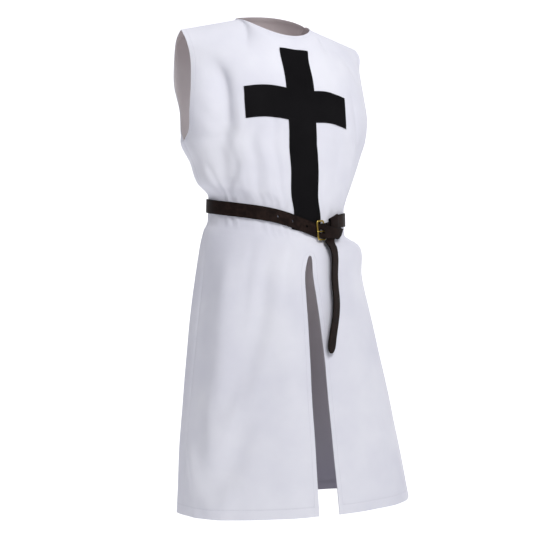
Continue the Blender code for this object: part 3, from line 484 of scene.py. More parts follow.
# Panels: thickness, turned hems and the front slit. Lengths in metres.
panelLook = {
    "thickness": 0.0013,
    "turnedExtra": 0.0009,
    "hemWide": 0.020,
    "edgeWide": 0.010,
    # the turned cloth ends a little past its line of stitches, in hem widths
    "turnEnds": 1.12,
    "turnFade": 0.24,
    "seamGroove": 0.0007,
    "seamReach": 0.003,
    "slitTop": -0.518,
    "slitWidth": 0.0495,
    "slitPower": 0.35,
    # the centre line's shift to the wearer's left, at heights from low to high
    "leanAt": (-1.100, -0.886, -0.750, -0.600, -0.518, -0.440, -0.195, -0.040),
    "leans": (-0.0075, -0.0034, -0.0025, -0.005, -0.0085, 0.010, -0.0055, -0.001),
    # rows of the mesh: extra ones at the hem and the top; steps near the belt, about it, below it, above it
    # and at the slit's end
    "rowsAtHem": (0.003, 0.010, 0.0185, 0.0215),
    "rowsAtTop": (0.0115, 0.0085, 0.003),
    "rowSteps": (0.0027, 0.0042, 0.0062, 0.0048, 0.0016),
    "nearBelt": 0.05,
    "aboutBelt": 0.12,
    "nearSlit": 0.012,
    # half width of the middle columns at the hem and at the belt
    "frontMiddle": (0.190, 0.110),
    "backMiddle": (0.150, 0.090),
    "barColumns": 8,
    "armColumns": 20,
    "sideColumns": 50,
    "neckColumns": 20,
    "backSideColumns": 60,
}
crossLook = {
    "barHalf": 0.0345,
    "armHalf": 0.127,
    "top": -0.0785,
    "armTop": -0.160,
    "armBottom": -0.229,
    "bottom": -0.467,
    # the arms slope down to the wearer's left, and both ends bend down over the square of the distance
    "armDrops": (0.0258, 0.275),
    "armShift": -0.004,
    "armArch": 0.0042,
    "topArch": 0.019,
    "topArchHalf": 0.048,
    "lift": 0.0004,
    "thickness": 0.0009,
    "solidThickness": 0.0010,
    "softEdge": 0.0004,
}
front["slit"] = heightPlace(front, panelLook["slitTop"])
front["crossTop"] = heightPlace(front, crossLook["top"])
front["crossBottom"] = heightPlace(front, crossLook["bottom"])
front["armTop"] = heightPlace(front, crossLook["armTop"])
front["armBottom"] = heightPlace(front, crossLook["armBottom"])


def centreHeight(t):
    return np.interp(t, front["places"], front["points"][:, samples // 2, 2])


def slitHalf(t):
    z = centreHeight(t)
    hemZ = form["rings"][0][0]
    down = np.clip((panelLook["slitTop"] - z) / (panelLook["slitTop"] - hemZ), 0, None)
    return np.where(t < front["slit"], panelLook["slitWidth"] / 2 * down ** panelLook["slitPower"], 0.0)


def frontPlace(across, t):
    # where a point of the front's own grid lies in its row, and the row that it hangs down to
    share = across / halfAt(front, t)
    droop = np.interp(t, [front["belt"], front["armBottom"], front["armTop"], front["top"]], [0, 1, 1, 0])
    out = np.clip(across, -crossLook["armHalf"], crossLook["armHalf"])
    one, two = crossLook["armDrops"]
    armLength = crossLook["armHalf"] - crossLook["barHalf"]
    arm = np.clip((np.abs(across) - crossLook["barHalf"]) / armLength, 0, 1)
    hang = one * out + two * out ** 2 - crossLook["armArch"] * np.sin(math.pi * arm)
    crown = np.interp(t, [front["armTop"], front["crossTop"], front["top"]], [0, 1, 0])
    arched = crossLook["topArch"] * crown * np.clip(1 - (across / crossLook["topArchHalf"]) ** 2, 0, None)
    drop = hang * droop * (1 - share ** 4) - arched
    lean = np.interp(centreHeight(t), panelLook["leanAt"], panelLook["leans"])
    moved = lean * (1 - share ** 2) + crossLook["armShift"] * arm * droop * (1 - share ** 4)
    return across + moved, t - drop


def rowPlaces(start, end, fixed, belt):
    near, about, under, over, atSlit = panelLook["rowSteps"]
    stops = sorted({start, end, *[t for t in fixed if start < t < end]})
    places = [start]
    for low, high in zip(stops, stops[1:]):
        t = low
        while t < high - 1e-9:
            step = under if t < belt else over
            if abs(t - belt) < panelLook["aboutBelt"]:
                step = near if abs(t - belt) < panelLook["nearBelt"] else about
            if low < front["slit"] <= high + 1e-9 and high - t < panelLook["nearSlit"]:
                step = atSlit
            t = high if high - t < 1.4 * step else t + step
            places.append(t)
    return places


def edgeColumns(low, high, count):
    # even columns that end in a few close ones beside the edge
    close = np.array([0.0110, 0.0085, 0.0060, 0.0036, 0.0014, 0.0])
    return np.concatenate([np.linspace(low, high - close[0], count)[1:-1], high - close])


def frontAcross(t, half):
    gap = float(slitHalf(t))
    neck = front["neckShare"] * halfAt(front, front["top"])
    stops = [0, front["belt"], front["armBottom"], front["armTop"], front["top"]]
    reaches = [*panelLook["frontMiddle"], crossLook["armHalf"], crossLook["armHalf"], neck]
    arm = np.interp(t, stops, reaches)
    bar = gap + crossLook["barHalf"]
    return np.concatenate([
        np.linspace(gap, bar, panelLook["barColumns"] + 1),
        np.linspace(bar, arm, panelLook["armColumns"] + 1)[1:],
        edgeColumns(arm, half, panelLook["sideColumns"]),
    ])


def bandDistance(surface, across, t, half):
    # distance from the nearest free edge, in widths of its turned hem, so that 1 is the line of stitches
    wide, far = panelLook["edgeWide"], 9.0
    hem = t / panelLook["hemWide"]
    hole = np.where(t > surface["armpit"], (half - np.abs(across)) / wide, far)
    neck = np.where(np.abs(across) / half <= surface["neckShare"], (surface["top"] - t) / wide, far)
    found = np.minimum(np.minimum(hem, hole), neck)
    if surface["side"] < 0:
        slit = np.where(t < surface["slit"] + wide, (np.abs(across) - slitHalf(t)) / wide, far)
        above = np.maximum(t - surface["slit"], 0) / wide
        found = np.minimum(found, np.where(above > 0, np.hypot(slit, above), slit))
    return np.clip(found, 0, 4)


def seamDistance(surface, across, t, half):
    side = np.where(t <= surface["armpit"] + 1e-9, half - np.abs(across), 9.0)
    shoulder = np.where(np.abs(across) / half >= surface["neckShare"], surface["top"] - t, 9.0)
    return np.minimum(side, shoulder)


def normalsOf(points, faces):
    corners = points[faces]
    facing = np.cross(corners[:, 2] - corners[:, 0], corners[:, 3] - corners[:, 1])
    normals = np.zeros_like(points)
    for k in range(4):
        np.add.at(normals, faces[:, k], facing)
    return normals / np.linalg.norm(normals, axis=1)[:, None]


def meshObject(name, corners, faces, uv=None, values=None, angle=50):
    mesh = bpy.data.meshes.new(name)
    mesh.from_pydata(np.asarray(corners).tolist(), [], [tuple(int(k) for k in face) for face in faces])
    mesh.shade_smooth()
    mesh.set_sharp_from_angle(angle=math.radians(angle))
    if uv is not None:
        layer = mesh.uv_layers.new(name="cutMetres")
        index = np.zeros(len(mesh.loops), dtype=np.int32)
        mesh.loops.foreach_get("vertex_index", index)
        layer.data.foreach_set("uv", np.asarray(uv, dtype=np.float32)[index].ravel())
    for key, numbers in (values or {}).items():
        layer = mesh.attributes.new(key, "FLOAT", "POINT")
        layer.data.foreach_set("value", np.asarray(numbers, dtype=np.float32))
    return putInScene(name, mesh)


def wallFaces(faces, count):
    faces = np.asarray(faces)
    starts = faces.ravel()
    ends = np.roll(faces, -1, axis=1).ravel()
    key = starts.astype(np.int64) * count + ends
    back = ends.astype(np.int64) * count + starts
    free = ~np.isin(key, back)
    a, b = starts[free], ends[free]
    rims = np.stack([b, a, a + count, b + count], axis=1)
    return np.concatenate([faces, faces[:, ::-1] + count, rims])


def wallObject(name, outer, inner, faces, uv, values, angle=50):
    # "wrongSide" is 1 on the inner sheet
    count = len(outer)
    used = np.unique(np.asarray(faces))
    number = np.full(2 * count, -1)
    number[used] = np.arange(len(used))
    number[used + count] = np.arange(len(used)) + len(used)
    walls = number[wallFaces(faces, count)]
    corners = np.concatenate([outer[used], inner[used]])
    both = {key: np.concatenate([numbers[used], numbers[used]]) for key, numbers in values.items()}
    both["wrongSide"] = np.repeat([0.0, 1.0], len(used))
    return meshObject(name, corners, walls, np.concatenate([uv[used], uv[used]]), both, angle)


def gridFaces(rows):
    # rows are lists of point numbers of equal length; the first row is the lower one
    low, high = np.array(rows[:-1]), np.array(rows[1:])
    return np.stack([low[:, :-1], low[:, 1:], high[:, 1:], high[:, :-1]], axis=-1).reshape(-1, 4)


def gridOf(surface, places, columns):
    t = np.concatenate([np.full(len(row), place) for place, row in zip(places, columns)])
    return np.concatenate(columns), t, halfAt(surface, t)


def makeFront():
    names = ("slit", "armTop", "armBottom", "armpit", "belt", "crossTop", "crossBottom")
    fixed = [front[name] for name in names]
    fixed += [*panelLook["rowsAtHem"], *[front["top"] - down for down in panelLook["rowsAtTop"]]]
    places = rowPlaces(0.0, front["top"], fixed, front["belt"])
    columns, left, right = [], [], []
    number = 0
    for place in places:
        one = frontAcross(place, float(halfAt(front, place)))
        split = one[0] > 0
        other = -one if split else -one[1:]
        numbers = list(range(number, number + len(one) + len(other)))
        left.append(numbers[:len(one)])
        right.append(numbers[len(one):] if split else [number, *numbers[len(one):]])
        columns.append(np.concatenate([one, other]))
        number += len(numbers)
    across, t, half = gridOf(front, places, columns)
    points = clothPoint(front, *frontPlace(across, t))
    faces = np.concatenate([gridFaces(left), gridFaces([row[::-1] for row in right])])
    return places, across, t, half, points, faces, left, right


def makeBack(frontPlaces):
    places = [t for t in frontPlaces if t < back["armpit"] - 1e-9]
    fixed = [back["top"] - down for down in panelLook["rowsAtTop"]]
    places += rowPlaces(back["armpit"], back["top"], fixed, back["belt"])
    middles = [*panelLook["backMiddle"], back["neckShare"] * halfAt(back, back["top"])]
    columns = []
    for place in places:
        middle = np.interp(place, [0, back["belt"], back["top"]], middles)
        inside = np.linspace(0, middle, panelLook["neckColumns"] + 1)
        beside = edgeColumns(middle, float(halfAt(back, place)), panelLook["backSideColumns"])
        one = np.concatenate([inside, beside])
        columns.append(np.concatenate([-one[:0:-1], one]))
    across, t, half = gridOf(back, places, columns)
    rows = np.arange(len(across)).reshape(len(places), -1)
    return across, t, half, clothPoint(back, across, t), gridFaces(rows[:, ::-1])


def clothWall(name, surface, across, t, half, points, faces):
    normals = normalsOf(points, faces)
    band = bandDistance(surface, across, t, half)
    seam = seamDistance(surface, across, t, half)
    groove = panelLook["seamGroove"] * np.exp(-((seam / panelLook["seamReach"]) ** 2))
    outer = points - normals * groove[:, None]
    turned = smooth((panelLook["turnEnds"] - band) / panelLook["turnFade"])
    thick = panelLook["thickness"] + panelLook["turnedExtra"] * turned
    inner = points - normals * (thick + groove)[:, None]
    uv = np.stack([across, t], axis=1)
    return wallObject(name, outer, inner, faces, uv, {"band": band}), normals


frontPlaces, frontX, frontT, frontHalf, frontPoints, frontFaces, leftRows, rightRows = makeFront()
frontPiece, frontNormals = clothWall(
    "frontCloth", front, frontX, frontT, frontHalf, frontPoints, frontFaces)
backX, backT, backHalf, backPoints, backFaces = makeBack(frontPlaces)
backPiece = clothWall("backCloth", back, backX, backT, backHalf, backPoints, backFaces)[0]
print("panels made", len(frontFaces), len(backFaces))


def makeCross():
    heights = centreHeight(frontPlaces)
    bar, arm = panelLook["barColumns"], panelLook["barColumns"] + panelLook["armColumns"]
    kept = []
    for j in range(len(frontPlaces) - 1):
        middle = (heights[j] + heights[j + 1]) / 2
        if not crossLook["bottom"] < middle < crossLook["top"]:
            continue
        reach = arm if crossLook["armBottom"] < middle < crossLook["armTop"] else bar
        kept.append(gridFaces([leftRows[j][:reach + 1], leftRows[j + 1][:reach + 1]]))
        kept.append(gridFaces([rightRows[j][:reach + 1][::-1], rightRows[j + 1][:reach + 1][::-1]]))
    faces = np.concatenate(kept)
    inner = frontPoints + frontNormals * crossLook["lift"]
    outer = frontPoints + frontNormals * (crossLook["lift"] + crossLook["thickness"])
    uv = np.stack([frontX, frontT], axis=1)
    piece = wallObject("crossCloth", outer, inner, faces, uv, {})
    bevel = piece.modifiers.new("soft edge", "BEVEL")
    bevel.width = crossLook["softEdge"]
    bevel.segments = 2
    bevel.limit_method = "ANGLE"
    bevel.angle_limit = math.radians(50)
    return piece, len(faces)


crossPiece, crossFaces = makeCross()
print("cross made", crossFaces)

# The belt. Along, up and out are metres along it from the centre front, up from its middle and out from it.
beltLook = {
    "width": 0.030,
    "thickness": 0.0026,
    "clear": 0.0004,
    "evenReach": 0.16,
    "evenFade": 0.06,
    "holes": (0.004, -0.0295, -0.063),
    "holeRadius": 0.0023,
    "holePatch": 0.0036,
    # extra rows of the mesh between the holes, and the step between the others
    "rowsByHoles": (-0.0790, -0.0740, -0.0545, -0.0490, -0.0435, -0.0380, -0.0220, -0.0170, -0.0120,
                    -0.0065, -0.0030),
    "rowStep": 0.0055,
    "tipLength": 0.020,
    "tailLength": 0.333,
    "layer": 0.0033,
    "backLayer": -0.0007,
    "slope": -11.2,
    "straightFrom": 0.015,
    "barAlong": 0.0305,
    "barUp": -0.0143,
    "strapAtBarUp": -0.0128,
    # the strap climbs over the free bar, is open for the prong, and turns towards the first fold
    "climb": (0.0017, 0.0142),
    "prongHole": (0.0065, 0.0142),
    "bendFrom": 0.019,
    "firstFold": 0.0694,
    "firstAxis": 54,
    "secondAxis": 14.6,
    "secondFoldUp": 0.0135,
    "settle": (0.048, 0.0550),
    "straighten": (0, 0.036),
    "tailRest": 0.0050,
    # each drift of the hanging end: how far, and its run
    "tailDrifts": ((-0.031, (0.024, 0.050)), (0.005, (0.075, 0.080)), (-0.028, (0.200, 0.150))),
    "tailTwist": 22,
}
buckleLook = {
    "wire": 0.0040,
    "pitch": 0.0193,
    "halfHigh": 0.0210,
    "corner": 0.0045,
    "tilt": 7,
    "hingeDepth": -0.0012,
    "prongWire": 0.0024,
    "play": 0.0003,
    "prongShift": -0.0011,
    "chapeRise": 0.004,
    # runs of the strap's fixed end, from the hinge on: its rise in and out, back to the belt's middle,
    # up over the body of the belt and down again, and upright from the buckle's tilt
    "riseIn": (0, 0.05),
    "riseOut": (0.06, 0.07),
    "toMiddle": (0, 0.06),
    "upOver": (0.005, 0.011),
    "downAgain": (0.072, 0.030),
    "upright": (0, 0.03),
}
waistFront = float(halfAt(front, front["belt"]))
waistBack = float(halfAt(back, back["belt"]))
waistLength = 2 * (waistFront + waistBack)
beltStand = crossLook["lift"] + crossLook["solidThickness"] + beltLook["clear"] + beltLook["thickness"] / 2
normalStep = 0.002


def waistCloth(along, up, folded):
    along = (along + waistFront) % waistLength - waistFront
    frontT = front["belt"] + up
    frontReach = halfAt(front, frontT)
    near = smooth((beltLook["evenReach"] - np.abs(along)) / beltLook["evenFade"])
    inFront = along * (1 + (waistFront / frontReach - 1) * near) / waistFront * frontReach
    backShare = 1 - (along - waistFront) / waistBack
    behind = backShare * halfAt(back, back["belt"] + up)
    spots = (front, inFront, frontT), (back, behind, back["belt"] + up)
    one, two = [clothPoint(*spot, False) if folded else smoothPoint(*spot)[0] for spot in spots]
    return np.where((along <= waistFront)[..., None], one, two)


def onWaist(spots):
    spots = np.asarray(spots, float)
    along, up, out = spots[..., 0], spots[..., 1], spots[..., 2]
    step = normalStep
    over = waistCloth(along + step, up, False) - waistCloth(along - step, up, False)
    rise = waistCloth(along, up + step, False) - waistCloth(along, up - step, False)
    normal = np.cross(over, rise)
    normal = normal / np.linalg.norm(normal, axis=-1, keepdims=True)
    return waistCloth(along, up, True) + normal * (beltStand + out)[..., None]


def heading(degrees):
    return np.array([math.cos(math.radians(degrees)), math.sin(math.radians(degrees)), 0.0])


outward = np.array([0.0, 0.0, 1.0])


def station(centre, along, ruling, normal=outward, width=beltLook["width"], holed=False):
    return {"centre": np.asarray(centre, float), "along": along, "ruling": ruling, "normal": normal,
            "width": width, "holed": holed}


def turnOver(last, degrees, radius, toward, steps=16):
    # folds the strap over about a slanting axis, as paper folds
    axis = heading(degrees)
    forward = np.array([axis[1], -axis[0], 0.0])
    forward = forward * math.copysign(1, last["along"] @ forward)
    beside, ahead = last["along"] @ axis, last["along"] @ forward
    sense = last["normal"] @ toward
    made = []
    for k in range(1, steps + 1):
        angle = math.pi * k / steps
        slip = beside / ahead * radius * angle * axis
        turned = math.sin(angle) * forward + (1 - math.cos(angle)) * toward
        centre = last["centre"] + slip + radius * turned
        normal = last["normal"] * math.cos(angle) - sense * forward * math.sin(angle)
        made.append(station(centre, beside * axis - ahead * forward, axis, normal))
    return made


def strapDip(past):
    slope = math.tan(math.radians(beltLook["slope"]))
    atStart = beltLook["strapAtBarUp"] + slope * (beltLook["straightFrom"] - beltLook["barAlong"])
    if past > beltLook["straightFrom"]:
        return atStart + slope * (past - beltLook["straightFrom"])
    return atStart * max(1 + (past - beltLook["straightFrom"]) * slope / (2 * atStart), 0) ** 2


def buckleAxes():
    hingeWay, barWay = heading(buckleLook["tilt"]), heading(buckleLook["tilt"] + 90)
    free = np.array([beltLook["barAlong"], beltLook["barUp"], 0])
    eye = buckleLook["wire"] / 2 + buckleLook["play"] + beltLook["thickness"] / 2
    hinge = free + buckleLook["pitch"] * hingeWay + (buckleLook["hingeDepth"] + eye) * outward
    return hingeWay, barWay, free, hinge


def chapeUp(hingeUp, step):
    risen = ramp(step, buckleLook["riseIn"]) * (1 - ramp(step, buckleLook["riseOut"]))
    risen = buckleLook["chapeRise"] * risen
    return hingeUp * (1 - ramp(step, buckleLook["toMiddle"])) + risen


def eyeAndChape():
    hingeWay, barWay, _, hinge = buckleAxes()
    radius = hinge[2] - buckleLook["hingeDepth"]
    made = []
    for degrees in np.linspace(20, 270, 18):
        away = math.cos(math.radians(degrees)) * hingeWay + math.sin(math.radians(degrees)) * outward
        made.append(station(hinge + radius * away, hingeWay, barWay, -away, holed=True))
    near = [0.0055, 0.007, 0.009, 0.011, 0.013, 0.0155, 0.018, 0.022]
    for step in (*near, *np.arange(0.027, 0.126, beltLook["rowStep"])):
        up = float(chapeUp(hinge[1], step))
        over = beltLook["backLayer"] + beltLook["layer"] - buckleLook["hingeDepth"]
        level = buckleLook["hingeDepth"] + over * ramp(step, buckleLook["upOver"])
        level = level * (1 - ramp(step, buckleLook["downAgain"]))
        lean = buckleLook["tilt"] * (1 - ramp(step, buckleLook["upright"])) + 90
        slope = (float(chapeUp(hinge[1], step + 0.001)) - up) / 0.001
        way = heading(math.degrees(math.atan(slope)))
        made.append(station([hinge[0] + step, up, level], way, heading(lean)))
    return made


def roundBody(start, length):
    # each hole keeps a patch of five stations, which the strap's mesh opens with a round hole
    step = beltLook["rowStep"]
    places = {x: False for x in np.arange(start + step, length - 0.082, step)}
    patch = beltLook["holePatch"]
    for hole in beltLook["holes"]:
        for k in range(5):
            places[length + hole + (k - 2) / 2 * patch] = k < 4
    places.update({length + x: False for x in beltLook["rowsByHoles"]})
    made = []
    for x in sorted(places):
        past = x - length
        slope = (strapDip(past + 0.0005) - strapDip(past - 0.0005)) / 0.001
        way = heading(math.degrees(math.atan(slope)))
        made.append(station([x, strapDip(past), 0], way, heading(90), holed="round" if places[x] else False))
    return made


def knotAndTail(length):
    along, lean = heading(beltLook["slope"]), buckleLook["tilt"] + 90
    atBar = np.array([length + beltLook["barAlong"], beltLook["strapAtBarUp"], 0])
    over = beltLook["backLayer"] + 3 * beltLook["layer"]
    made = []
    for u in (-0.012, -0.008, -0.004, -0.001, *np.arange(0.0018, 0.0191, 0.0013)):
        level = over * ramp(u, beltLook["climb"]) * outward
        holed = beltLook["prongHole"][0] < u < beltLook["prongHole"][1]
        made.append(station(atBar + u * along + level, along, heading(lean), holed=holed))
    for share in np.linspace(0, 1, 14)[1:]:
        u = beltLook["bendFrom"] + (beltLook["firstFold"] - beltLook["bendFrom"]) * share
        turned = lean + (beltLook["firstAxis"] - lean) * share
        made.append(station(atBar + u * along + over * outward, along, heading(turned)))
    made += turnOver(made[-1], beltLook["firstAxis"], 1.5 * beltLook["layer"], -outward)
    behind = made[-1]
    reach = (beltLook["secondFoldUp"] - behind["centre"][1]) / behind["along"][1]
    for k in range(1, 9):
        axis = heading(beltLook["firstAxis"] + (beltLook["secondAxis"] - beltLook["firstAxis"]) * k / 8)
        centre = behind["centre"] + reach * k / 8 * behind["along"]
        made.append(station(centre, behind["along"], axis, behind["normal"]))
    made += turnOver(made[-1], beltLook["secondAxis"], beltLook["layer"], outward)
    top = made[-1]
    tipStart = beltLook["tailLength"] - beltLook["tipLength"]
    tip = tipStart + beltLook["tipLength"] * np.sin(np.linspace(0, math.pi / 2, 15))
    for u in (*np.arange(0.005, tipStart - 0.002, 0.006), *tip):
        drift = sum(move * ramp(u, run) for move, run in beltLook["tailDrifts"])
        settled = ramp(u, beltLook["settle"])
        level = top["centre"][2] + (beltLook["tailRest"] - top["centre"][2]) * settled
        centre = [top["centre"][0] + drift, top["centre"][1] - u, level]
        twist = math.radians(beltLook["tailTwist"]) * settled
        lean = heading(beltLook["secondAxis"] * (1 - ramp(u, beltLook["straighten"])))
        ruling = lean * math.cos(twist) - outward * math.sin(twist)
        normal = heading(0) * math.sin(twist) + outward * math.cos(twist)
        inTip = max(u - tipStart, 0) / beltLook["tipLength"]
        width = max(beltLook["width"] * math.sqrt(max(1 - inTip ** 2, 0)), 0.003)
        made.append(station(centre, -heading(90), ruling, normal, width))
    return made


def makeStrap():
    stations = eyeAndChape()
    stations += roundBody(stations[-1]["centre"][0], waistLength)
    stations += knotAndTail(waistLength)
    half, patch = beltLook["width"] / 2, beltLook["holePatch"]
    lanes = np.array([-1, -0.965, -0.88, -0.60, -0.24, -0.12, 0, 0.12, 0.24, 0.60, 0.88, 0.965, 1]) * half
    thin = [0.30, 0.80, *[1] * 9, 0.80, 0.30]
    middle = (4, 5, 6, 7)
    spots, offsets, uv, edge = [], [], [], []
    travelled = 0.0
    lengths = []
    for k, at in enumerate(stations):
        if k:
            travelled += float(np.linalg.norm(at["centre"] - stations[k - 1]["centre"]))
        lengths.append(travelled)
        slant = np.linalg.norm(np.cross(at["along"], at["ruling"]))
        scale = at["width"] / beltLook["width"]
        for v, factor in zip(lanes * scale, thin):
            spots.append(at["centre"] + v / slant * at["ruling"])
            offsets.append(at["normal"] * beltLook["thickness"] / 2 * factor)
            uv.append((travelled, v))
            edge.append(max(scale * half - abs(v), 0))
    count = len(lanes)
    faces = []
    for k, at in enumerate(stations[:-1]):
        for c in range(count - 1):
            if at["holed"] and c in middle:
                continue
            low, high = k * count + c, (k + 1) * count + c
            faces.append((low, high, high + 1, low + 1))
    # a round hole in each patch of five stations
    starts = [k for k, at in enumerate(stations) if at["holed"] == "round"]
    starts = [k for k in starts if k - 1 not in starts]
    for first in starts:
        centre = stations[first + 2]
        border = [(first + j, 4) for j in range(4)] + [(first + 4, 4 + j) for j in range(4)]
        border += [(first + 4 - j, 8) for j in range(4)] + [(first, 8 - j) for j in range(4)]
        border = [k * count + c for k, c in border]
        rings = []
        for radius, factor in ((beltLook["holeRadius"] + 0.0005, 1.0), (beltLook["holeRadius"], 0.55)):
            ring = []
            for j in range(16):
                turn = math.radians(-135 + 22.5 * j)
                way = math.cos(turn) * centre["along"] + math.sin(turn) * centre["ruling"]
                ring.append(len(spots))
                spots.append(centre["centre"] + radius * way)
                offsets.append(centre["normal"] * beltLook["thickness"] / 2 * factor)
                uv.append((lengths[first + 2] + radius * math.cos(turn), radius * math.sin(turn)))
                edge.append(0.0005 if factor == 1.0 else 0.0)
            rings.append(ring)
        # border runs along the low side first, so it starts at the corner with the lowest along and v
        for ring, outerRing in ((rings[0], border), (rings[1], rings[0])):
            for j in range(16):
                n = (j + 1) % 16
                faces.append((outerRing[j], outerRing[n], ring[n], ring[j]))
    spots, offsets = np.array(spots), np.array(offsets)
    outer, inner = onWaist(spots + offsets), onWaist(spots - offsets)
    return wallObject("strap", outer, inner, faces, np.array(uv), {"edge": np.array(edge)}, 60)


strapPiece = makeStrap()
print("strap made", len(strapPiece.data.polygons))


def wirePiece(name, spots, across, closed, radii=None):
    curve = bpy.data.curves.new(name + "Path", "CURVE")
    curve.dimensions = "3D"
    curve.bevel_depth = across / 2
    curve.bevel_resolution = 5
    curve.use_fill_caps = not closed
    spline = curve.splines.new("POLY")
    spline.points.add(len(spots) - 1)
    for k, place in enumerate(onWaist(spots)):
        spline.points[k].co = (*place, 1)
        spline.points[k].radius = radii[k] if radii else 1
    spline.use_cyclic_u = closed
    return pieceFrom(name, putInScene(name + "Path", curve))


def makeBuckle():
    hingeWay, barWay, free, hinge = buckleAxes()
    look = buckleLook
    freeLevel = beltLook["thickness"] / 2 + look["play"] + look["wire"] / 2
    middle = free + look["pitch"] / 2 * hingeWay
    loop = []
    for quarter in range(4):
        signX, signY = ((1, 1), (-1, 1), (-1, -1), (1, -1))[quarter]
        corner = []
        for turn in math.pi / 2 * (quarter + np.linspace(0, 1, 9)):
            x = signX * (look["pitch"] / 2 - look["corner"]) + look["corner"] * math.cos(turn)
            y = signY * (look["halfHigh"] - look["corner"]) + look["corner"] * math.sin(turn)
            corner.append((x, y))
        if loop:
            x0, y0 = loop[-1]
            x1, y1 = corner[0]
            loop += [(x0 + (x1 - x0) * k / 6, y0 + (y1 - y0) * k / 6) for k in range(1, 6)]
        loop += corner
    spots = []
    for x, y in loop:
        level = freeLevel + (hinge[2] - freeLevel) * (x / look["pitch"] + 0.5)
        spots.append(middle + x * hingeWay + y * barWay + level * outward)
    framePiece = wirePiece("buckleRing", spots, look["wire"], True)

    radius = look["wire"] / 2 + look["play"] + look["prongWire"] / 2
    start = hinge + look["prongShift"] * barWay
    rest = freeLevel + radius - hinge[2]
    spots = []
    for degrees in range(200, 451, 10):
        turn = math.radians(degrees)
        spots.append(start + radius * (math.cos(turn) * hingeWay + math.sin(turn) * outward))
    shank = [
        (look["pitch"] / 2, radius), (look["pitch"] - 0.002, rest),
        (look["pitch"] + 0.001, rest), (look["pitch"] + 0.0035, rest - 0.0012),
    ]
    spots += [start - reach * hingeWay + rise * outward for reach, rise in shank]
    radii = [1.0] * (len(spots) - 2) + [0.9, 0.55]
    prongPiece = wirePiece("buckleTongue", spots, look["prongWire"], False, radii)
    return framePiece, prongPiece


ringPiece, tonguePiece = makeBuckle()
print("buckle made")


# Materials. Colours are sRGB hex values.
def fromHex(text):
    parts = [int(text[k:k + 2], 16) / 255 for k in (1, 3, 5)]
    return [x / 12.92 if x <= 0.04045 else ((x + 0.055) / 1.055) ** 2.4 for x in parts] + [1.0]


def connect(tree, node, links):
    # links: socket name or number of the node -> output socket of another node, or a plain value
    for key, value in links.items():
        if isinstance(value, bpy.types.NodeSocket):
            tree.links.new(value, node.inputs[key])
        else:
            node.inputs[key].default_value = value


def addNode(tree, kind, links=None, out=0, **settings):
    node = tree.nodes.new(kind)
    for key, value in settings.items():
        setattr(node, key, value)
    connect(tree, node, links or {})
    return node.outputs if out is None else node.outputs[out]


def newMaterial(name):
    made = bpy.data.materials.new(name)
    made.use_nodes = True
    tree = made.node_tree

    def add(kind, links=None, out=0, **settings):
        return addNode(tree, "ShaderNode" + kind, links, out, **settings)

    def finish(links):
        connect(tree, tree.nodes["Principled BSDF"], links)
        return made

    return add, finish


def mixed(add, factor, one, two):
    return add("Mix", {"Factor": factor, 6: one, 7: two}, 2, data_type="RGBA")


def ranged(add, value, low, high, toLow=0.0, toHigh=1.0, **settings):
    links = {"Value": value, "From Min": low, "From Max": high, "To Min": toLow, "To Max": toHigh}
    return add("MapRange", links, **settings)


def bumped(add, strength, distance, height, below=None):
    links = {"Strength": strength, "Distance": distance, "Height": height}
    if below:
        links["Normal"] = below
    return add("Bump", links)


waveUnit = math.pi / 10  # a wave texture repeats every pi / 10 of its own length at scale 1
clothColours = {
    "white": "#EAEAF2",
    "whiteShade": "#DEDEE9",
    # painted shade along the sunk line of stitches
    "stitchLineShade": "#D4D4DF",
    # painted shade for the inner sheet: greyer than the white, greyest towards the hem (Low) and darker
    # behind the neck (High)
    "wrongSide": "#DDD8DA",
    "wrongSideLow": "#8F8C98",
    "wrongSideHigh": "#BBB0B1",
    "black": "#0D0C0E",
    "blackWorn": "#161517",
    "threadMillimetres": 0.9,  # the real threads are 0.4 mm apart, too fine to show
}


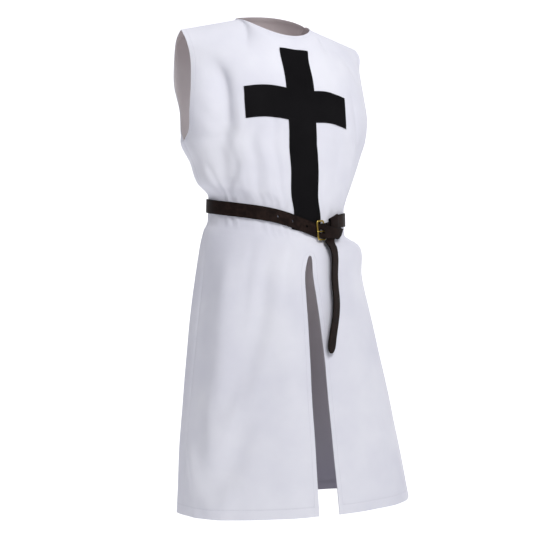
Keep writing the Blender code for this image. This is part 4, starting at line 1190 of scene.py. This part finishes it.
def cottonCloth(name, colour, shade, line):
    # plain-woven cotton, matt: even colour outside, a fine cross weave and soft creasing; painted shade
    # along the line of stitches and on the inside
    add, finish = newMaterial(name)
    cut = add("UVMap", uv_map="cutMetres")
    threads = 1000 / clothColours["threadMillimetres"]
    links = {"Vector": cut, "Scale": threads * waveUnit, "Distortion": 0.6, "Detail": 1.0}
    weft, warp = [add("TexWave", links, "Fac", bands_direction=way) for way in ("Y", "X")]
    weave = add("Math", {0: weft, 1: warp}, operation="MULTIPLY")
    body = add("TexCoord", out="Object")
    clouds = add("TexNoise", {"Vector": body, "Scale": 7.0, "Detail": 3.0})
    slubs = add("TexNoise", {"Vector": cut, "Scale": 260.0, "Detail": 2.0})
    wrinkles = add("TexNoise", {"Vector": body, "Scale": 24.0, "Detail": 4.0, "Roughness": 0.55,
                                "Distortion": 0.4})
    base = mixed(add, ranged(add, clouds, 0.35, 0.70), fromHex(colour), fromHex(shade))
    fine = add("Math", {0: slubs, 1: 0.5, 2: weave}, operation="MULTIPLY_ADD")
    soft = bumped(add, 0.55, 0.0016, wrinkles, bumped(add, 0.25, 0.00025, fine))
    if line:
        # a sunk line of stitches one hem's width from each free edge, with painted shade: the cloth colour
        # is mixed a quarter of the way to a darker grey along it
        band = add("Attribute", out="Fac", attribute_name="band")
        away = add("Math", {0: add("Math", {0: band, 1: 1.0}, operation="SUBTRACT")}, operation="ABSOLUTE")
        near = ranged(add, away, 0.0, 0.12, 1.0, 0.0, interpolation_type="SMOOTHSTEP")
        base = mixed(add, add("Math", {0: near, 1: 0.25}, operation="MULTIPLY"), base, fromHex(line))
        soft = bumped(add, 0.4, 0.0005, add("Math", {0: near, 1: -1.0}, operation="MULTIPLY"), soft)
        # painted shade: the inner sheet is painted greyer than the white outside, and greyer still towards
        # the hem and behind the neck
        wrong, low, high = [fromHex(clothColours["wrongSide" + end]) for end in ("", "Low", "High")]
        height = add("SeparateXYZ", {0: body}, "Z")
        paintedInsideShade = mixed(add, ranged(add, height, -1.02, -0.56, 1.0, 0.0), wrong, low)
        paintedInsideShade = mixed(add, ranged(add, height, -0.11, -0.03), paintedInsideShade, high)
        base = mixed(add, add("Attribute", out="Fac", attribute_name="wrongSide"), base, paintedInsideShade)
    return finish({
        "Base Color": base, "Normal": soft, "Roughness": 0.92, "IOR": 1.46, "Sheen Roughness": 0.5,
        "Specular IOR Level": 0.25 if line else 0.10, "Sheen Weight": 0.12 if line else 0.0,
    })


leatherColours = {
    "dark": "#1A1210",
    "light": "#2C201C",
    "edge": "#0C0908",
    "grainMillimetres": 1.1,
    "creaseMillimetres": 14,
}


def waxedLeather():
    # vegetable-tanned leather, dyed dark brown and waxed: a satin gloss, pebbled grain, darker cut edges
    add, finish = newMaterial("waxedLeather")
    run = add("UVMap", uv_map="cutMetres")
    edge = add("Attribute", out="Fac", attribute_name="edge")
    grainScale, creaseScale = [1000 / leatherColours[key + "Millimetres"] for key in ("grain", "crease")]
    dark, light, cutEdge = [fromHex(leatherColours[key]) for key in ("dark", "light", "edge")]
    grain = add("TexVoronoi", {"Vector": run, "Scale": grainScale, "Smoothness": 0.6}, "Distance",
                feature="SMOOTH_F1")
    clouds = add("TexNoise", {"Vector": run, "Scale": creaseScale, "Detail": 5.0, "Roughness": 0.6,
                              "Distortion": 0.8})
    base = mixed(add, ranged(add, clouds, 0.40, 0.72), dark, light)
    rim = ranged(add, edge, 0.0004, 0.0022, 1.0, 0.0, interpolation_type="SMOOTHSTEP")
    return finish({
        "Base Color": mixed(add, rim, base, cutEdge), "Roughness": ranged(add, clouds, 0.3, 0.7, 0.50, 0.66),
        "Normal": bumped(add, 0.5, 0.0009, clouds, bumped(add, 0.35, 0.00025, grain)),
        "IOR": 1.5, "Specular IOR Level": 0.07,
    })


brassColours = {"light": "#D6BC68", "dark": "#B2923C"}
threadColours = {
    # the second colour of each thread is painted shade in the grooves of the twist
    "white": ("#EDEDF4", "#D0D0DA"),
    "black": ("#1B1A1C", "#0C0B0C"),
    "twistsInMetre": 900,
}


def castBrass():
    # plain cast brass, tumbled: yellow, softly polished, dulled a little in patches
    add, finish = newMaterial("tumbledBrass")
    body = add("TexCoord", out="Object")
    patches = add("TexNoise", {"Vector": body, "Scale": 160.0, "Detail": 3.0})
    return finish({
        "Base Color": mixed(add, patches, *[fromHex(brassColours[key]) for key in ("light", "dark")]),
        "Metallic": 1.0,
        "Roughness": ranged(add, patches, 0.0, 1.0, 0.20, 0.40), "Normal": bumped(add, 0.2, 0.0002, patches),
    })


def spunThread(name, colour, dark):
    # two-ply sewing cotton: soft, with the twist of its plies drawn as painted shade, darker bands between
    # them
    add, finish = newMaterial(name)
    body = add("TexCoord", out="Object")
    links = {"Vector": body, "Scale": threadColours["twistsInMetre"] * waveUnit, "Distortion": 1.0}
    twist = add("TexWave", links, "Fac", bands_direction="DIAGONAL")
    return finish({"Base Color": mixed(add, twist, fromHex(dark), fromHex(colour)), "Roughness": 0.8})


whiteCotton = cottonCloth("wovenWhiteCotton", clothColours["white"], clothColours["whiteShade"],
                          clothColours["stitchLineShade"])
blackCotton = cottonCloth("wovenBlackCotton", clothColours["black"], clothColours["blackWorn"], None)
leather = waxedLeather()
brass = castBrass()
whiteThread = spunThread("whiteThread", *threadColours["white"])
blackThread = spunThread("blackThread", *threadColours["black"])
for piece, finish in ((frontPiece, whiteCotton), (backPiece, whiteCotton), (crossPiece, blackCotton),
                      (strapPiece, leather), (ringPiece, brass), (tonguePiece, brass)):
    piece.data.materials.clear()
    piece.data.materials.append(finish)
print("materials made")

# Stitches: one Geometry Nodes tree lays a thread's stitches along any path.
stitchLook = {
    "length": 0.0030,
    "gap": 0.0012,
    "thread": 0.0006,
    "crossInset": 0.0022,
    "lift": 0.0001,
    "hemEnds": 0.997,
    "fromSlit": 0.004,
    "fromSeam": 0.002,
    "fromHem": 0.003,
    "crossStep": 0.003,
}


def stitchTree():
    tree = bpy.data.node_groups.new("stitchesOnPath", "GeometryNodeTree")
    faceOf = tree.interface
    faceOf.new_socket("Path", in_out="INPUT", socket_type="NodeSocketGeometry")
    names = ("Stitch length", "Gap", "Thread width")
    sockets = [faceOf.new_socket(name, in_out="INPUT", socket_type="NodeSocketFloat") for name in names]
    sockets.append(faceOf.new_socket("Thread", in_out="INPUT", socket_type="NodeSocketMaterial"))
    faceOf.new_socket("Stitches", in_out="OUTPUT", socket_type="NodeSocketGeometry")
    given = addNode(tree, "NodeGroupInput", out=None)
    pitch = addNode(tree, "ShaderNodeMath", {0: given[1], 1: given[2]}, operation="ADD")
    path = addNode(tree, "GeometryNodeMeshToCurve", {"Mesh": given[0]})
    even = addNode(tree, "GeometryNodeResampleCurve", {"Curve": path, "Length": pitch}, mode="LENGTH")
    tangent = addNode(tree, "GeometryNodeInputTangent")
    turned = addNode(tree, "FunctionNodeAlignRotationToVector", {"Vector": tangent}, axis="Z")
    grain = addNode(tree, "GeometryNodeMeshUVSphere", {"Segments": 6, "Rings": 4, "Radius": 0.5})
    size = addNode(tree, "ShaderNodeCombineXYZ", {0: given[3], 1: given[3], 2: given[1]})
    placed = addNode(tree, "GeometryNodeInstanceOnPoints",
                     {"Points": even, "Instance": grain, "Rotation": turned, "Scale": size})
    real = addNode(tree, "GeometryNodeRealizeInstances", {0: placed})
    dyed = addNode(tree, "GeometryNodeSetMaterial", {"Geometry": real, "Material": given[4]})
    addNode(tree, "NodeGroupOutput", {0: dyed}, None)
    return tree, [socket.identifier for socket in sockets]


stitches, stitchSockets = stitchTree()


def surfaceNormal(surface, across, t):
    step = normalStep
    over = clothPoint(surface, across + step, t) - clothPoint(surface, across - step, t)
    rise = clothPoint(surface, across, t + step) - clothPoint(surface, across, t - step)
    normal = np.cross(over, rise) * -surface["side"]
    return normal / np.linalg.norm(normal, axis=-1, keepdims=True)


def onCloth(surface, across, t, lift=stitchLook["lift"]):
    across, t = np.broadcast_arrays(np.asarray(across, float), np.asarray(t, float))
    if surface["side"] < 0:
        across, t = frontPlace(across, t)
    return clothPoint(surface, across, t) + surfaceNormal(surface, across, t) * lift


def sewPaths(name, paths, thread):
    corners, edges = [], []
    for path in paths:
        start = len(corners)
        corners += [tuple(p) for p in path]
        edges += [(start + k, start + k + 1) for k in range(len(path) - 1)]
    mesh = bpy.data.meshes.new(name + "Path")
    mesh.from_pydata(corners, edges, [])
    holder = putInScene(name + "Path", mesh)
    modifier = holder.modifiers.new("stitches", "NODES")
    modifier.node_group = stitches
    given = (stitchLook["length"], stitchLook["gap"], stitchLook["thread"], thread)
    for socket, value in zip(stitchSockets, given):
        modifier[socket] = value
    return pieceFrom(name, holder)


def hemPaths(surface):
    half = float(halfAt(surface, panelLook["hemWide"])) * stitchLook["hemEnds"]
    if surface["side"] > 0:
        return [onCloth(surface, np.linspace(-half, half, 500), panelLook["hemWide"])]
    gap = float(slitHalf(panelLook["hemWide"])) + stitchLook["fromSlit"]
    return [onCloth(surface, sign * np.linspace(gap, half, 260), panelLook["hemWide"]) for sign in (1, -1)]


def armholePaths(surface):
    t = np.linspace(surface["armpit"] + stitchLook["fromSeam"], surface["top"] - stitchLook["fromSeam"], 200)
    inset = halfAt(surface, t) - panelLook["edgeWide"]
    return [onCloth(surface, sign * inset, t) for sign in (-1, 1)]


def neckPaths(surface):
    reach = surface["neckShare"] * halfAt(surface, surface["top"])
    return [onCloth(surface, np.linspace(-reach, reach, 160), surface["top"] - panelLook["edgeWide"])]


def slitPaths():
    t = np.linspace(stitchLook["fromHem"], front["slit"], 260)
    side = slitHalf(t) + panelLook["edgeWide"]
    turn = np.linspace(0, math.pi, 24)
    capX = panelLook["edgeWide"] * np.cos(turn)
    capT = front["slit"] + panelLook["edgeWide"] * np.sin(turn)
    across = np.concatenate([side, capX, -side[::-1]])
    places = np.concatenate([t, capT, t[::-1]])
    return [onCloth(front, across, places)]


def crossPaths():
    inset = stitchLook["crossInset"]
    bar, arm = crossLook["barHalf"] - inset, crossLook["armHalf"] - inset
    top, bottom = front["crossTop"] - inset, front["crossBottom"] + inset
    armTop, armBottom = front["armTop"] - inset, front["armBottom"] + inset
    half = [(bar, bottom), (bar, armBottom), (arm, armBottom), (arm, armTop), (bar, armTop), (bar, top)]
    corners = [(-bar, bottom), *half, *[(-x, y) for x, y in half[:0:-1]]]
    lift = crossLook["lift"] + crossLook["thickness"] + stitchLook["lift"]
    paths = []
    for (x0, y0), (x1, y1) in zip(corners, corners[1:] + corners[:1]):
        count = max(4, int(math.hypot(x1 - x0, y1 - y0) / stitchLook["crossStep"]))
        paths.append(onCloth(front, np.linspace(x0, x1, count), np.linspace(y0, y1, count), lift))
    return paths


whiteSeams = sewPaths("whiteStitches", [
    *hemPaths(front), *hemPaths(back), *armholePaths(front), *armholePaths(back),
    *neckPaths(front), *neckPaths(back), *slitPaths()], whiteThread)
blackSeams = sewPaths("crossStitches", crossPaths(), blackThread)
print("stitches made", len(whiteSeams.data.polygons), len(blackSeams.data.polygons))

# What stands for which solid, what it rides on and the name of its finish.
for piece, node, slot in (
        (frontPiece, "front_panel", "cloth"), (backPiece, "back_panel", "cloth"),
        (crossPiece, "cross_applique", "cross_cloth"), (strapPiece, "belt_strap", "strap_leather"),
        (ringPiece, "buckle_frame", "buckle_brass"), (tonguePiece, "buckle_prong", "buckle_brass"),
        (whiteSeams, None, "cloth"), (blackSeams, None, "cross_cloth")):
    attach(piece, "root")
    if node:
        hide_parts(node)

# The cut of each piece of cloth: width and length in metres, area in square metres.
sheetCuts = {
    "front": (0.78, 1.08, 0.60),
    "back": (0.78, 1.12, 0.66),
    "cross": (0.26, 0.40, 0.041),
}
for piece, cut, held, below, sewn in (
        (frontPiece, "front", "hung", [], [whiteSeams]), (backPiece, "back", "hung", [], []),
        (crossPiece, "cross", "laid", [frontPiece], [blackSeams])):
    wide, long, area = sheetCuts[cut]
    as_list(below)
    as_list(sewn)

# Floor, backdrop and soft studio light.
stageLook = {
    "floorZ": -1.60,
    "backdropAway": 3.2,
    "bend": 1.2,
    "width": 9.0,
    "height": 4.5,
    "near": 1.5,
    "colour": "#FAFAFB",
    "dusty": "#F7F7F9",
    "air": "#F4F5FA",
    "glow": 0.61,
    "worldStrength": 0.34,
}


def makeStage(look):
    away, level, bend = look["backdropAway"], look["floorZ"], look["bend"]
    profile = [(-look["near"], level), (away - bend, level)]
    for turn in np.linspace(0, math.pi / 2, 17)[1:]:
        profile.append((away - bend + bend * math.sin(turn), level + bend * (1 - math.cos(turn))))
    profile.append((away, level + look["height"]))
    corners, faces = [], []
    for depth, z in profile:
        for side in (-1, 1):
            aside = viewRight * side * look["width"] / 2
            corners.append(tuple(viewAway * depth + aside + Vector((0, 0, z))))
    for k in range(len(profile) - 1):
        faces.append((2 * k, 2 * k + 1, 2 * k + 3, 2 * k + 2))
    floor = meshObject("paleFloor", corners, faces)
    add, finish = newMaterial("paintedBackdrop")
    dust = add("TexNoise", {"Vector": add("TexCoord", out="Object"), "Scale": 2.0})
    colour = fromHex(look["colour"])
    floor.data.materials.append(finish({
        "Base Color": mixed(add, dust, colour, fromHex(look["dusty"])), "Roughness": 1.0,
        "Specular IOR Level": 0.0, "Emission Color": colour, "Emission Strength": look["glow"],
    }))
    floor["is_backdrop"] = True


makeStage(stageLook)

# Lights: place, aim, width, power in watts.
lightLook = {
    "keyRight": ((-0.15, -1.75, 1.10), (0.0, 0.0, -0.12), 1.2, 35),
    "topBack": ((0.8, 1.4, 1.8), (0.0, 0.0, -0.20), 1.6, 9),
}
insideLook = {"place": (-0.08, -0.02, -0.22), "radius": 0.05, "power": 0.15}


def makeLamp(name, kind, place, power):
    data = bpy.data.lights.new(name, kind)
    data.energy = power
    lamp = putInScene(name, data)
    lamp.location = place
    return data, lamp


def makeLights(look):
    for name, (place, aim, width, power) in look.items():
        data, lamp = makeLamp(name, "AREA", place, power)
        data.shape = "DISK"
        data.size = width
        lamp.rotation_euler = (Vector(aim) - Vector(place)).to_track_quat("-Z", "Y").to_euler()
    # a small lamp inside the chest, which the camera doesn't see, lights the cloth through the armhole
    data, lamp = makeLamp("inside", "POINT", insideLook["place"], insideLook["power"])
    data.shadow_soft_size = insideLook["radius"]
    lamp.visible_camera = False
    world = bpy.data.worlds.new("studio")
    world.use_nodes = True
    air = world.node_tree.nodes["Background"].inputs
    air["Color"].default_value = fromHex(stageLook["air"])
    air["Strength"].default_value = stageLook["worldStrength"]
    bpy.context.scene.world = world
    bpy.context.scene.view_settings.view_transform = "Standard"  # so that white cloth stays white


makeLights(lightLook)
print("stage and lights made")

boxes = {"cad": cadBox, "visual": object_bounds()}
{key: [list(corner) for corner in box] for key, box in boxes.items()}
